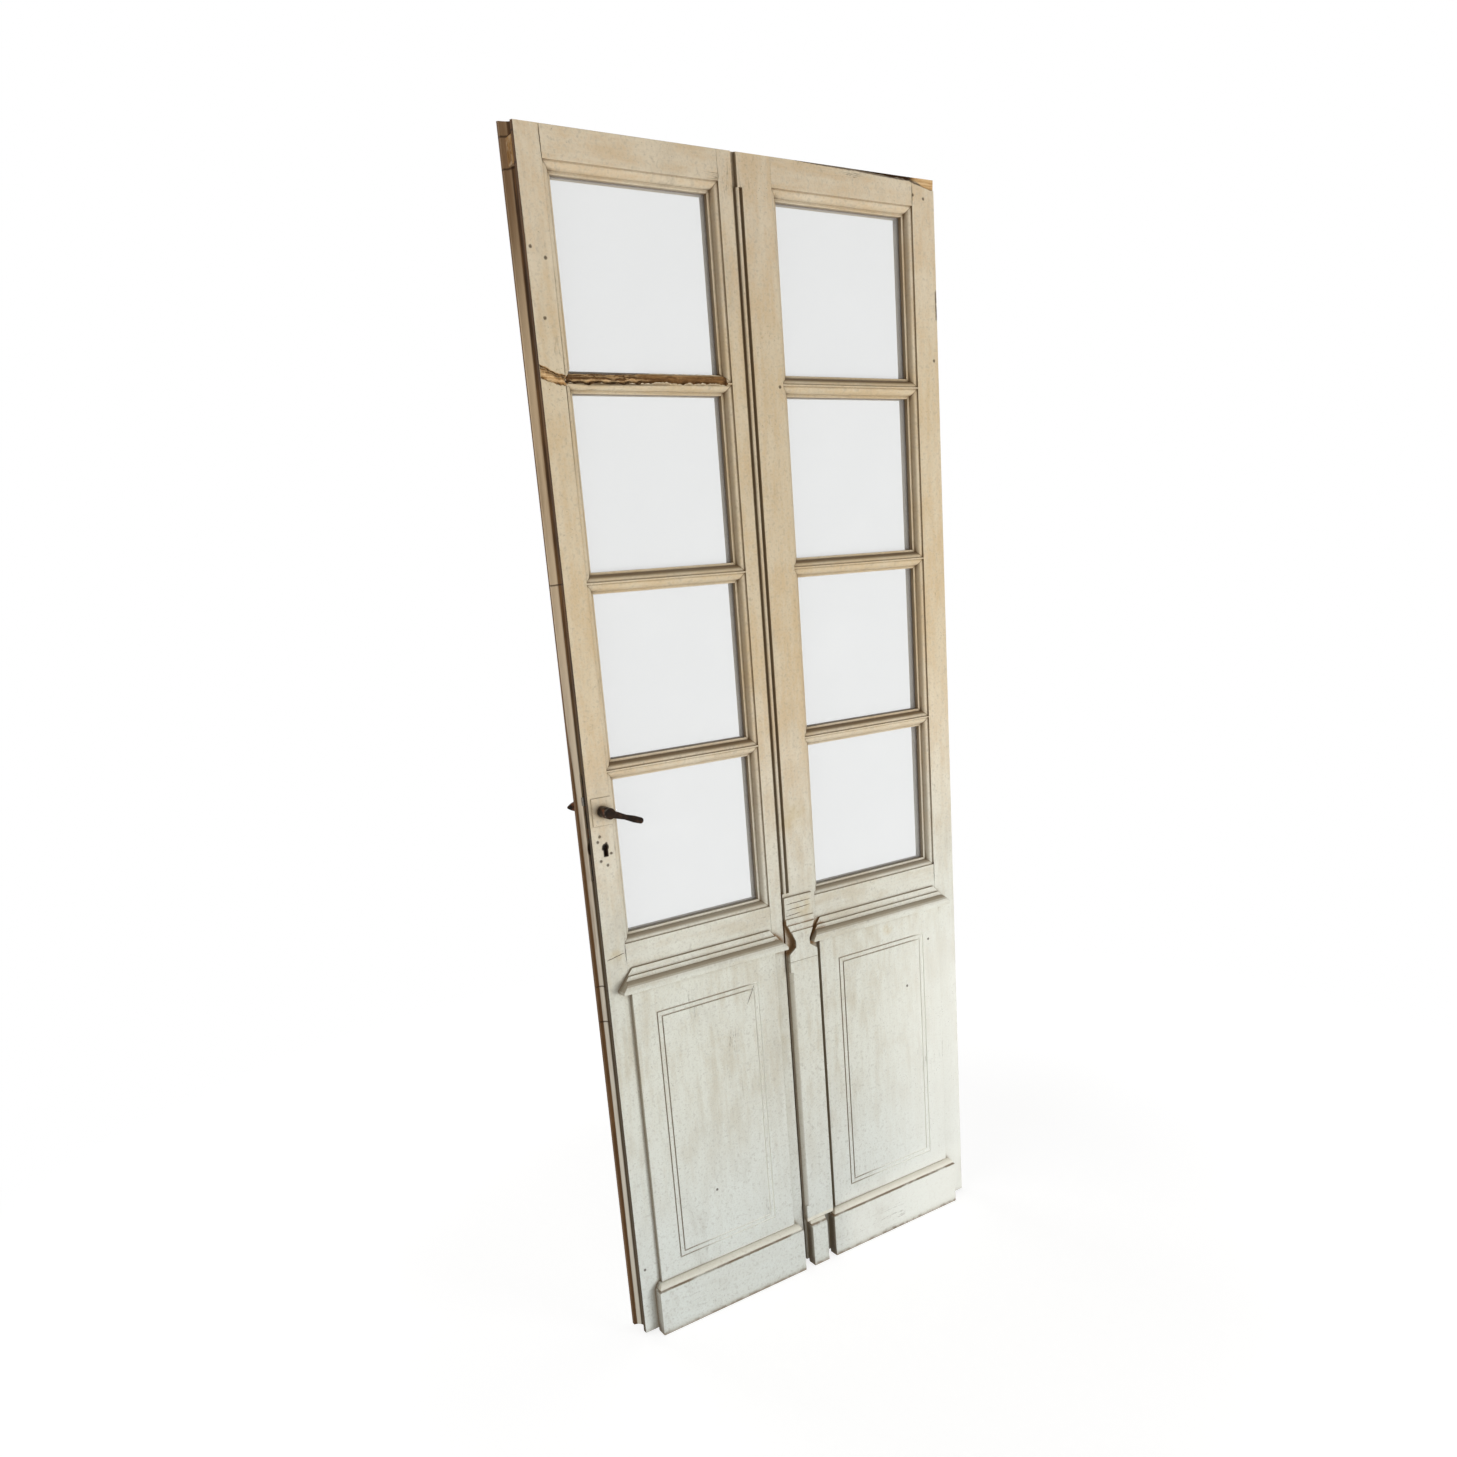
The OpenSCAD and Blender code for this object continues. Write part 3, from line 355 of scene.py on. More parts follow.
def old_marks(f):
    """Nail holes, cracks and a rusty arris, then yellow stains, as two masks on the front of the leaves."""
    waver = f.vector("SUBTRACT", f.noise(160.0, 3.0).output("Color"), MIDDLE_GREY)
    place = f.vector("MULTIPLY_ADD", waver, MARK_WOBBLE, f.seen_flat())
    rust_low, rust_high = EDGE_RUST_Z
    rust = f.x.ramp(HANG_EDGE_X - EDGE_RUST_WIDTH, HANG_EDGE_X - EDGE_RUST_WIDTH / 2)
    rust = rust * f.z.ramp(rust_low - EDGE_RUST_FADE, rust_low)
    rust = rust * f.z.ramp(rust_high + EDGE_RUST_FADE, rust_high)
    dark = rust * f.noise(90.0, 3.0).ramp(0.35, 0.50)
    for x, z in NAIL_HOLES:
        dark = dark.greatest(f.away_from(x, z, place).ramp(NAIL_RADIUS, NAIL_RADIUS * 0.4))
    for (x0, z0), (x1, z1), half_width in CRACKS:
        length = math.hypot(x1 - x0, z1 - z0)
        spread = 2 * half_width ** 2 / length
        both_ends = f.away_from(x0, z0, place) + f.away_from(x1, z1, place)
        dark = dark.greatest(both_ends.ramp(length + spread, length))
    stains = [f.away_from(x, z, place).ramp(radius, radius * 0.2) for x, z, radius in STAINS]
    yellow = reduce(Value.greatest, stains) * f.noise(60.0, 4.0).ramp(0.30, 0.60)
    on_front = f.front_half()
    return dark * on_front, yellow * on_front


def shaded_pockets(f):
    """Painted shade in the hollows beside the astragal's cap, behind its front."""
    place = f.seen_flat()
    spots = [f.away_from(x, z, place).ramp(radius, radius * 0.75) for x, z, radius in SHADED_POCKETS]
    hollow = f.crevices(POCKET_REACH).ramp(0.92, 0.70)
    return reduce(Value.greatest, spots) * f.y.ramp(*BEHIND_CAP_Y) * hollow


def coat_of_paint(f, streaks, blotches, speckle, patches):
    """The paint itself: warm above and cool below, dulled by hands and dust, with painted cold daylight
    towards the foot and painted light low on the right.
    """
    tone = f.noise(5.0, 5.0, 0.6) * 0.3 + patches * 0.3 + blotches * 0.2 + streaks * 0.2
    warm = f.mix(WARM_PAINT, PALE_PAINT, tone.ramp(0.42, 0.57))
    cool = f.mix(DULL_PAINT, COOL_PAINT, tone.ramp(0.41, 0.55))
    # Painted cold daylight: bluer, paler paint towards the foot
    cool = f.mix(cool, FOOT_PAINT, f.z.ramp(*BLUISH_Z) * 0.7)
    paint = f.mix(cool, warm, f.z.ramp(*WARM_Z))
    yellowed = f.z.ramp(*YELLOWED_Z) * f.z.ramp(*YELLOWED_END_Z)
    paint = f.mix(paint, STAIN_YELLOW, yellowed * 0.18)
    dirt = abs(f.x).ramp(*BESIDE_JOINT_X) * 0.08
    dirt = dirt + speckle.ramp(0.46, 0.76) * 0.15 + blotches.ramp(0.50, 0.70) * 0.20
    paint = f.mix(paint, DUST_AND_SHADE_BROWN, dirt)
    smudges = f.noise(8.0, 6.0, 0.68, UPRIGHT_SMEAR).ramp(0.50, 0.72) * patches.ramp(0.36, 0.62)
    paint = f.mix(paint, DUST_AND_SHADE_GREY, smudges * 0.30)
    # Painted light: paler paint low on the right and on the plinths of the right leaf
    paint = f.mix(paint, PAINTED_LIGHT_CREAM, f.x.ramp(*LIT_LOW_RIGHT_X) * f.z.ramp(*LIT_LOW_RIGHT_Z) * 0.6)
    paint = f.mix(paint, PAINTED_LIGHT_CREAM, f.x.ramp(*PALE_PLINTH_X) * f.z.ramp(*PALE_PLINTH_Z) * 0.45)
    scuffed = f.z.ramp(*SCUFFED_Z) * f.noise(55.0, 4.0, 0.6).ramp(0.44, 0.58)
    return f.mix(paint, GRIME_AND_SHADE, scuffed * 0.75)


def line_shade_and_dirt(f, board):
    """How dark a board's incised lines and corners are painted with dirt and painted shade: less to the right
    and downwards, where painted light falls into them.
    """
    low, high = board
    beside_left = f.x.ramp((low.x + high.x) / 2, low.x + 0.08)
    below_top = f.z.ramp((low.z + high.z) / 2, high.z - 0.10) * f.x.ramp(high.x - 0.05, high.x - 0.09)
    return 0.06 + beside_left.greatest(below_top) * 0.7


def dust_and_painted_shade(f, paint, grain, shade_and_dirt, lit_quirk):
    """Dust on ledges, and dust with painted shade on sides that face left, in corners and along seams."""
    settled = f.facing("Z").ramp(0.25, 0.75) * f.noise(24.0, 4.0, 0.6, grain).ramp(0.10, 0.50)
    settled = settled * (0.25 + 0.75 * f.z.ramp(*LEDGE_DUST_Z)) * (1 - 0.45 * f.z.ramp(*TOP_EDGE_Z))
    # Painted shade on sides that face left, away from the light, with some dirt
    leftward = f.facing("X").ramp(-0.35, -0.80) * (0.2 if lit_quirk else 1.0)
    sunk = f.crevices(CORNER_REACH).ramp(0.84, 0.50)
    dust = f.mix(DUST_AND_SHADE_GREY, DUST_AND_SHADE_BROWN, f.z.ramp(*BROWN_DUST_AND_SHADE_Z))
    paint = f.mix(paint, dust, settled.greatest(sunk * 0.55).greatest(leftward * 0.6) * 0.9 * shade_and_dirt)
    # Painted shade, darkest where a side that faces left lies in a corner
    paint = f.mix(paint, GRIME_AND_SHADE, leftward * sunk * shade_and_dirt * 0.8)
    # Dirt and painted shade along seams
    return f.mix(paint, dust, f.crevices(SEAM_REACH).ramp(0.90, 0.60) * shade_and_dirt * 0.45)


def plinth_highlight_and_line(f, paint, blotches, patches):
    """A painted highlight along the rounded top of each plinth, and a dark brown line under it."""
    on_plinth = f.y.ramp(*PLINTH_Y)
    on_round = on_plinth * f.z.ramp(*PLINTH_ROUND_Z) * f.z.ramp(*PLINTH_ROUND_END_Z)
    # Painted highlight along the rounded top of each plinth
    paint = f.mix(paint, PLINTH_HIGHLIGHT_CREAM, on_round * 0.35)
    wavy_z = f.z + (blotches - 0.5) * 0.002
    dark_line = abs(wavy_z - PLINTH_LINE_Z).ramp(*PLINTH_LINE_HALF) * on_plinth
    return f.mix(paint, DUST_AND_SHADE_BROWN, dark_line * patches.ramp(0.30, 0.55) * 0.8)


def painted_wood(name, grain, board=None, lit_quirk=False):
    """Old cream paint, warmer towards the top, with brush marks, dirt and painted shade in the quirks, and
    worn arrises.

    On a panel board, given by its box, the dirt and painted shade in the incised lines fade to the right and
    downwards, where painted light fills them.
    A lit quirk is painted light deep inside, and its sides that face left get little painted shade.
    """
    f = Finish(name)
    streaks = f.noise(90.0, 5.0, 0.65, grain)
    fine = f.noise(420.0, 3.0, 0.6, grain)
    blotches = f.noise(120.0, 3.0, 0.6)
    speckle = f.noise(260.0, 3.0, 0.65)
    patches = f.noise(34.0, 4.0, 0.6, tuple(0.3 + 0.7 * share for share in grain))
    paint = coat_of_paint(f, streaks, blotches, speckle, patches)

    crack_line = abs(f.noise(38.0, 6.0, 0.55, grain) - 0.5).ramp(0.006, 0.001)
    crazing = crack_line * f.noise(7.0, 3.0).ramp(0.58, 0.70)
    specks = f.cells(140.0).ramp(0.15, 0.07) * f.noise(16.0, 3.0).ramp(0.50, 0.66)
    paint = f.mix(paint, GRIME_AND_SHADE, crazing.greatest(specks) * 0.55)
    dark_marks, yellow_marks = old_marks(f)
    paint = f.mix(paint, STAIN_YELLOW, yellow_marks * 0.38)

    # Share of dirt and painted shade; on a board it follows the light, less to the right and downwards
    shade_and_dirt = 1.0 if board is None else line_shade_and_dirt(f, board)
    paint = dust_and_painted_shade(f, paint, grain, shade_and_dirt, lit_quirk)
    # Dirt and painted shade in grooves
    in_groove = f.crevices(GROOVE_REACH)
    groove = in_groove.ramp(0.66, 0.30) * f.noise(30.0, 4.0, 0.6, grain).ramp(0.15, 0.50)
    paint = f.mix(paint, GROOVE_BROWN, groove * shade_and_dirt * 0.85)
    # Painted light in a board's incised lines, to the right and downwards
    if board is not None:
        paint = f.mix(paint, PAINTED_LIGHT_CREAM, in_groove.ramp(0.90, 0.60) * (0.80 - shade_and_dirt).greatest(0.0))
    # Painted light deep in the quirk beside the meeting stile's bead
    if lit_quirk:
        paint = f.mix(paint, QUIRK_TAN, in_groove.ramp(0.45, 0.15) * 0.9)
    # Painted shade in the hollows beside the cap
    paint = f.mix(paint, POCKET_BROWN, shaded_pockets(f) * 0.9)
    paint = plinth_highlight_and_line(f, paint, blotches, patches)

    worn = f.arris(WORN_ARRIS).ramp(0.05, 0.20) * f.noise(45.0, 5.0, 0.65, grain).ramp(0.58, 0.70)
    wood = f.mix(DARK_WOOD, OLD_WOOD, streaks)
    colour = f.mix(f.mix(paint, wood, worn * 0.8), DARK_WOOD, dark_marks * 0.8)

    relief = streaks * 0.4 + fine * 0.3 + speckle * 0.3 - crazing * 0.6 - worn * 0.9 - dark_marks
    roughness = (0.46 + streaks * 0.16 + worn * 0.2).greatest(groove * 0.7)
    return f, colour, relief, roughness


def finish_paint(f, colour, relief, roughness):
    return f.surface({"Base Color": colour, "Roughness": roughness,
                      "Normal": f.bump(relief, 0.6, 0.0014), "Specular IOR Level": 0.14})


def leaf_paint(name, grain, board=None, lit_quirk=False):
    return finish_paint(*painted_wood(name, grain, board, lit_quirk))


# The lock edge: heights of its dark lines, and where its paint changes from the front lip to the back lip
EDGE_LINES_Z = [2.2385, 2.2865, 0.7050, 0.7800, 1.5600]
EDGE_LINE_HALF = (0.0022, 0.0008)
EDGE_X = (LOCK_EDGE_X + 0.014, LOCK_EDGE_X + 0.010)
LIP_END_X = (LOCK_EDGE_X + 0.004, LOCK_EDGE_X + 0.002)
LIP_SIDE_Y = (LIP_Y - 0.0004, LIP_Y + 0.0004)
EDGE_PAINT_Y = (0.0084, 0.0112)
EDGE_BARE_Y = 0.0160
EDGE_TAN_Z = (0.5, 1.9)
EDGE_BROWN_Z = (1.90, 2.20)
EDGE_OLIVE_Z = (1.50, 1.10)
EDGE_UPPER_Z = (1.15, 1.60)
EDGE_SHIFT_Z = (1.4, 0.5)

# The keyhole's dark worn edge and painted shade: the radius of its head, then half the width and the length
# of its tail
KEYHOLE_DARK_RADIUS = 0.0074
KEYHOLE_DARK_TAIL = (0.0054, 0.0190)
KEY_MIDDLE_DROP = 0.006
KEY_HOLE_REACH = (0.024, 0.020)
KEY_HOLE_FRONT_Y = (FACE_Y + 0.0002, FACE_Y + 0.0008)
KEY_HOLE_END_Y = (0.012, 0.010)


def lock_edge(f, grain):
    """The hollowed edge: old paint between a dark band at the front lip, dark wood with painted shade where
    the hollow is deepest, and bare wood at the back lip.
    """
    wood = f.mix(DARK_WOOD, OLD_WOOD, grain.ramp(0.35, 0.75))
    old_paint = f.mix(EDGE_CREAM, EDGE_TAN, f.z.ramp(*EDGE_TAN_Z))
    old_paint = f.mix(old_paint, OLD_WOOD, f.noise(40.0, 5.0, 0.65, UPRIGHT).ramp(0.48, 0.72) * 0.6)
    old_paint = f.mix(old_paint, OLD_WOOD, f.z.ramp(*EDGE_BROWN_Z) * 0.65)
    edge_y = f.y + (f.noise(12.0, 4.0, 0.6, UPRIGHT) - 0.5) * 0.002 + f.z.ramp(*EDGE_SHIFT_Z) * 0.0015
    upper = f.z.ramp(*EDGE_UPPER_Z)
    # The dark band by the front lip: dark wood with painted shade where the hollow is deepest
    inner = f.mix(wood, EDGE_OLIVE, f.z.ramp(*EDGE_OLIVE_Z) * 0.7)
    edge = f.mix(inner, old_paint, (edge_y - upper * 0.0008).ramp(*EDGE_PAINT_Y))
    bare_from_y = EDGE_BARE_Y + 0.0040 * upper
    edge = f.mix(edge, f.mix(wood, OLD_WOOD, 0.5), (edge_y - bare_from_y).ramp(-0.0004, 0.0006))
    ragged_z = f.z + (f.noise(70.0, 3.0) - 0.5) * 0.004
    for line_z in EDGE_LINES_Z:
        edge = f.mix(edge, DARK_WOOD, abs(ragged_z - line_z).ramp(*EDGE_LINE_HALF) * 0.8)
    return edge


def round_rose(f):
    """The stile's front round the plate behind the lever, down to that plate's lower edge."""
    half_width = (ROSE_HIGH.x - ROSE_LOW.x) / 2
    beside = abs(f.x - (ROSE_LOW.x + half_width)).ramp(half_width + 0.008, half_width + 0.003)
    above_foot = f.z.ramp(ROSE_LOW.z - 0.0005, ROSE_LOW.z + 0.0010)
    return beside * above_foot * f.z.ramp(ROSE_HIGH.z + 0.008, ROSE_HIGH.z + 0.003) * f.front_half()


def keyhole_wear_and_shade(f, place):
    """The keyhole's dark worn edge on the front, with painted shade that makes the hole look wider: a round
    head and a straight tail.
    """
    half_tail, tail_end = KEYHOLE_DARK_TAIL
    head = f.away_from(KEYHOLE_X, KEYHOLE_Z, place).ramp(KEYHOLE_DARK_RADIUS + 0.0005, KEYHOLE_DARK_RADIUS - 0.0005)
    tail = abs(f.x - KEYHOLE_X).ramp(half_tail + 0.0004, half_tail - 0.0004)
    tail = tail * f.z.ramp(KEYHOLE_Z, KEYHOLE_Z - 0.001)
    tail = tail * f.z.ramp(KEYHOLE_Z - tail_end - 0.0006, KEYHOLE_Z - tail_end + 0.0006)
    return head.greatest(tail) * f.front_half()


def lock_edge_paint():
    """The lock stile: painted as the rest, with its old edge, painted light round the plate behind the lever,
    and the keyhole's dark worn edge and painted shade.
    """
    f, colour, relief, roughness = painted_wood("lock_stile_paint", UPRIGHT)
    grain = f.noise(160.0, 6.0, 0.65, UPRIGHT)
    # Painted light: paler paint round the plate behind the lever, over the shade at its outline
    colour = f.mix(colour, ROSE_PAINT, round_rose(f) * 0.65)
    in_edge = f.x.ramp(*EDGE_X) * f.facing("X").ramp(-0.20, -0.45)
    on_lip = f.y.ramp(*LIP_SIDE_Y) * f.x.ramp(*LIP_END_X)
    colour = f.mix(colour, lock_edge(f, grain), in_edge.greatest(on_lip))

    place = f.seen_flat()
    # Dark worn edge and painted shade round the keyhole
    colour = f.mix(colour, IRON_BLACK, keyhole_wear_and_shade(f, place) * 0.92)
    beside_key = f.away_from(KEYHOLE_X, KEYHOLE_Z - KEY_MIDDLE_DROP, place).ramp(*KEY_HOLE_REACH)
    in_keyhole = beside_key * f.y.ramp(*KEY_HOLE_FRONT_Y) * f.y.ramp(*KEY_HOLE_END_Y)
    # Painted shade on the walls inside the keyhole
    colour = f.mix(colour, DARK_WOOD, in_keyhole)
    return finish_paint(f, colour, relief + grain * 0.4, roughness)


def broken_wood(name, fresh, dark_before_x=None, brown_after_x=None):
    """Torn fibres, paler where the break is fresh.

    Left of dark_before_x it is an old, dark split; right of brown_after_x it is worn, even brown.
    """
    f = Finish(name)
    fibres = f.noise(260.0, 6.0, 0.7, LEVEL)
    splinters = f.noise(70.0, 5.0, 0.65, LEVEL)
    raw = f.mix(RAW_WOOD, PALE_RAW_WOOD, fibres.ramp(0.35, 0.65))
    aged = f.mix(DARK_WOOD, OLD_WOOD, fibres.ramp(0.32, 0.62))
    colour = f.mix(aged, raw, splinters.ramp(0.66 - 0.4 * fresh, 0.74 - 0.4 * fresh))
    # Painted shade deep in the tear
    colour = f.mix(colour, DARK_WOOD, f.crevices(TEAR_REACH).ramp(0.78, 0.42) * 0.9)
    if brown_after_x is not None:
        worn = f.mix(OLD_WOOD, RAW_WOOD, fibres.ramp(0.40, 0.70) * 0.6)
        colour = f.mix(colour, worn, f.x.ramp(brown_after_x - 0.03, brown_after_x + 0.03) * 0.8)
    if dark_before_x is not None:
        colour = f.mix(DARK_WOOD, colour, f.x.ramp(dark_before_x - 0.02, dark_before_x))
    return f.surface({"Base Color": colour, "Roughness": 0.75 + fibres * 0.15,
                      "Normal": f.bump(fibres + splinters, 0.8, 0.0025), "Specular IOR Level": 0.1})


def bare_block():
    """The small block let into the lock edge: brown wood that has lost its paint."""
    f = Finish("bare_block_wood")
    fibres = f.noise(220.0, 6.0, 0.7, UPRIGHT)
    bare = f.mix(OLD_WOOD, RAW_WOOD, fibres.ramp(0.35, 0.65))
    colour = f.mix(bare, EDGE_TAN, f.noise(60.0, 4.0).ramp(0.50, 0.65) * 0.6)
    # Painted shade in the block's corners and grooves
    colour = f.mix(colour, DARK_WOOD, f.crevices(GROOVE_REACH).ramp(0.70, 0.35) * 0.8)
    return f.surface({"Base Color": colour, "Roughness": 0.7 + fibres * 0.15,
                      "Normal": f.bump(fibres, 0.5, 0.001), "Specular IOR Level": 0.1})


def pane_glass():
    """Clear old glass with a little dust."""
    f = Finish("pane_glass")
    dust = f.noise(9.0, 5.0, 0.6).ramp(0.45, 0.80)
    fine = f.noise(160.0, 2.0)
    ripple = f.noise(7.0, 1.0, 0.4)
    return f.surface({"Base Color": f.mix(GLASS_TINT, WHITE, dust * 0.2), "Roughness": 0.04 + dust * 0.10,
                      "Alpha": 0.23 + dust * 0.015 + fine * 0.01, "Normal": f.bump(ripple, 0.05, 0.002),
                      "IOR": 1.5, "Specular IOR Level": 0.3})


def black_iron(name, rusty=0.25):
    """Old handled iron, black-brown, with rust in patches and a lighter worn arris."""
    f = Finish(name)
    patches = f.noise(60.0, 5.0, 0.65)
    grains = f.noise(700.0, 3.0, 0.6)
    rust = patches.ramp(0.62 - 0.3 * rusty, 0.80 - 0.3 * rusty) * grains.ramp(0.30, 0.60)
    worn = f.arris(WORN_IRON_ARRIS).ramp(0.05, 0.25) * f.noise(120.0, 3.0).ramp(0.40, 0.60)
    dark = f.mix(IRON_BLACK, IRON_BROWN, patches.ramp(0.35, 0.75))
    colour = f.mix(f.mix(dark, RUST, rust), STEEL_GREY, worn * 0.35)
    return f.surface({"Base Color": colour, "Metallic": 0.85 - rust * 0.7, "Roughness": 0.45 + rust * 0.35,
                      "Normal": f.bump(grains + patches, 0.35, 0.0006)})


def dull_steel():
    """Screws and bolts: grey steel with scratches and a little rust."""
    f = Finish("dull_steel")
    scratches = f.noise(300.0, 4.0, 0.6, LEVEL)
    rust = f.noise(130.0, 4.0, 0.65).ramp(0.55, 0.72)
    colour = f.mix(f.mix(STEEL_GREY, IRON_BROWN, scratches.ramp(0.45, 0.70) * 0.6), RUST, rust * 0.7)
    return f.surface({"Base Color": colour, "Metallic": 0.95 - rust * 0.8,
                      "Roughness": 0.38 + scratches * 0.15 + rust * 0.3,
                      "Normal": f.bump(scratches + rust, 0.25, 0.0004)})


JOIN_WITHIN = 0.00001
PLAIN_ANGLE = math.radians(0.5)
SHARP_ANGLE = math.radians(32)


def plain_normals():
    """What a modifier does to drop the normals that came with a solid, so that round arrises shade well."""
    group = bpy.data.node_groups.new("plain_normals", "GeometryNodeTree")
    for way in ("INPUT", "OUTPUT"):
        group.interface.new_socket("Geometry", in_out=way, socket_type="NodeSocketGeometry")
    steps = Tree(group)
    solid = steps.node("NodeGroupInput", out="Geometry")
    bare = steps.node("GeometryNodeRemoveAttribute", {}, {"Geometry": solid, "Name": "custom_normal"})
    steps.node("NodeGroupOutput", {}, {"Geometry": bare})
    return group


PLAIN_NORMALS = plain_normals()


def soften_arrises(node, width):
    """Round a solid's sharp edges a little, by modifiers alone: its own mesh stays as it is."""
    plain = node.modifiers.new("plain_normals", "NODES")
    plain.node_group = PLAIN_NORMALS
    weld = node.modifiers.new("join_corners", "WELD")
    weld.merge_threshold = JOIN_WITHIN
    flat = node.modifiers.new("plain_faces", "DECIMATE")
    flat.decimate_type = "DISSOLVE"
    flat.angle_limit = PLAIN_ANGLE
    bevel = node.modifiers.new("soft_arrises", "BEVEL")
    bevel.width = width
    bevel.segments = 2
    bevel.limit_method = "ANGLE"
    bevel.angle_limit = SHARP_ANGLE


def dress(node_names, material, arris_width):
    for node_name in node_names:
        node = nodes[node_name]
        node.data.materials.clear()
        node.data.materials.append(material)
        soften_arrises(node, arris_width)


WOOD_ARRIS = 0.0011
METAL_ARRIS = 0.0003
GLASS_ARRIS = 0.0002
LEAVES = ("lock", "hung")

dress(["lock_stile"], lock_edge_paint(), WOOD_ARRIS)
dress(["edge_block"], bare_block(), WOOD_ARRIS)
dress(["meeting_stile", "front_rose"],
      leaf_paint("meeting_stile_paint", UPRIGHT, lit_quirk=True), WOOD_ARRIS)
dress(["fold_stile", "hanging_stile", "astragal_strip", "astragal_cap", "astragal_block"],
      leaf_paint("upright_paint", UPRIGHT), WOOD_ARRIS)
for leaf in LEAVES:
    panel = f"{leaf}_panel"
    dress([panel], leaf_paint(f"{panel}_paint", UPRIGHT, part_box(panel)), WOOD_ARRIS)
dress([f"{leaf}_{piece}" for leaf in LEAVES for piece in
       ("top_rail", "bar_1", "bar_2", "bar_3", "mid_rail", "bottom_rail", "dado", "plinth", "glazing_beads")],
      leaf_paint("level_paint", LEVEL), WOOD_ARRIS)
dress([f"{leaf}_pane_{row}" for leaf in LEAVES for row in (1, 2, 3, 4)], pane_glass(), GLASS_ARRIS)
dress(["lock_case", "lock_faceplate", "front_lever", "rear_plate"], black_iron("black_iron"), METAL_ARRIS)
dress(["rear_knob", "fold_hinge_lock_halves", "fold_hinge_hung_halves", "fold_hinge_pins",
       "hanging_sockets"], black_iron("hinge_iron", 0.7), METAL_ARRIS)
dress(["lock_screws", "latch_bolt", "dead_bolt", "lock_follower", "spindle", "rear_plate_screws",
       "fold_hinge_lock_screws", "fold_hinge_hung_screws", "hanging_socket_screws"],
      dull_steel(), METAL_ARRIS)


def loft(name, rings, material):
    """A closed mesh through rings of equally many points, capped at both ends."""
    count = len(rings[0])
    last = (len(rings) - 1) * count
    faces = [tuple(reversed(range(count))), tuple(range(last, last + count))]
    for i in range(0, last, count):
        for j in range(count):
            k = (j + 1) % count
            faces.append((i + j, i + k, i + count + k, i + count + j))
    mesh = bpy.data.meshes.new(name)
    mesh.from_pydata([point for ring in rings for point in ring], [], faces)
    mesh.materials.append(material)
    tool = bpy.data.objects.new(name, mesh)
    bpy.context.scene.collection.objects.link(tool)
    return tool


def eased(value, start, end):
    """0 at start, 1 at end, smooth between."""
    share = min(max((value - start) / (end - start), 0.0), 1.0)
    return share * share * (3 - 2 * share)


def jag(along, pitch, seed):
    """A steady ragged value from -1 to 1 that changes every pitch."""
    return noise.noise(Vector((along / pitch, seed, 0.5)))


# How the breaks are cut: the step along them, how far their tools stand before the front, and past an end
BREAK_STEP = 0.0018
FRONT_GAP = 0.002
TOOL_FRONT_Y = FACE_Y - FRONT_GAP
OVERCUT = 0.001
SPLIT_START_X = 0.222
FLAKE_START_X = 0.385
DARK_SPLIT_END_X = 0.408
LEVER_SWELL = 0.0019


def stations(x0, x1):
    count = int((x1 - x0) / BREAK_STEP)
    return [x0 + (x1 - x0) * i / count for i in range(count + 1)]


def bar_break():
    """The splintered upper half of the highest bar: deep at its left third, a torn arris further on."""
    low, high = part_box("lock_bar_3")
    length = high.x - low.x
    deep_end = low.x + 0.30 * length
    shallow_start = low.x + 0.62 * length
    split_z = low.z + 0.0148
    pane_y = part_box("lock_pane_4")[0].y + OVERCUT
    top = high.z + OVERCUT
    rings = []
    for x in stations(low.x + 0.001, high.x - 0.010):
        shallow = eased(x, deep_end, shallow_start)
        bite = max(0.0, jag(x, 0.021, 1.5)) * 0.004
        ragged = 0.0024 * jag(x, 0.008, 1.0) + 0.0014 * jag(x, 0.003, 2.0)
        edge = split_z + 0.0032 * shallow - bite + ragged
        crack = 0.014 - 0.002 * shallow + 0.002 * jag(x, 0.010, 3.0)
        bulge = crack - 0.007 + 0.0035 * shallow - 0.0015 * jag(x, 0.006, 4.0)
        lip_z = high.z - 0.0050 + 0.0035 * shallow + 0.4 * ragged
        bulge_z = edge + (lip_z - edge) * (0.45 + 0.18 * jag(x, 0.012, 5.0))
        crack_y = FACE_Y + crack
        rings.append([(x, TOOL_FRONT_Y, edge), (x, crack_y, edge + 0.0012), (x, crack_y, edge + 0.0032),
                      (x, FACE_Y + bulge, bulge_z), (x, crack_y + 0.001, lip_z - 0.0015),
                      (x, pane_y, lip_z), (x, pane_y, top), (x, TOOL_FRONT_Y, top)])
    return loft("bar_break", rings, broken_wood("bar_fibres", 0.45, brown_after_x=low.x + 0.45 * length))


def stile_tear():
    """The gouge that runs from the broken bar across the lock stile to its arris."""
    low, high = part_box("lock_bar_3")
    start = LOCK_EDGE_X + 0.0005
    rings = []
    for x in stations(start, low.x + 0.012):
        along = eased(x, start - 0.01, low.x + 0.004)
        upper = high.z + 0.0055 - 0.017 * along
        upper = upper + 0.0022 * jag(x, 0.009, 6.0) + 0.0014 * jag(x, 0.003, 7.0)
        lower = upper - 0.024 + 0.006 * along - 0.003 * jag(x, 0.008, 8.0)
        depth = 0.0042 + 0.0015 * jag(x, 0.006, 9.0)
        middle = (upper + lower) / 2 + 0.003 * jag(x, 0.005, 10.0)
        lower_y = FACE_Y + depth * 1.2
        upper_y = FACE_Y + depth * 1.5
        rings.append([(x, TOOL_FRONT_Y, lower), (x, lower_y, lower + 0.0008), (x, lower_y, lower + 0.0030),
                      (x, FACE_Y + depth * 0.35, middle), (x, upper_y, upper - 0.0032),
                      (x, upper_y, upper - 0.0008), (x, TOOL_FRONT_Y, upper)])
    return loft("stile_tear", rings, broken_wood("stile_fibres", 0.85))


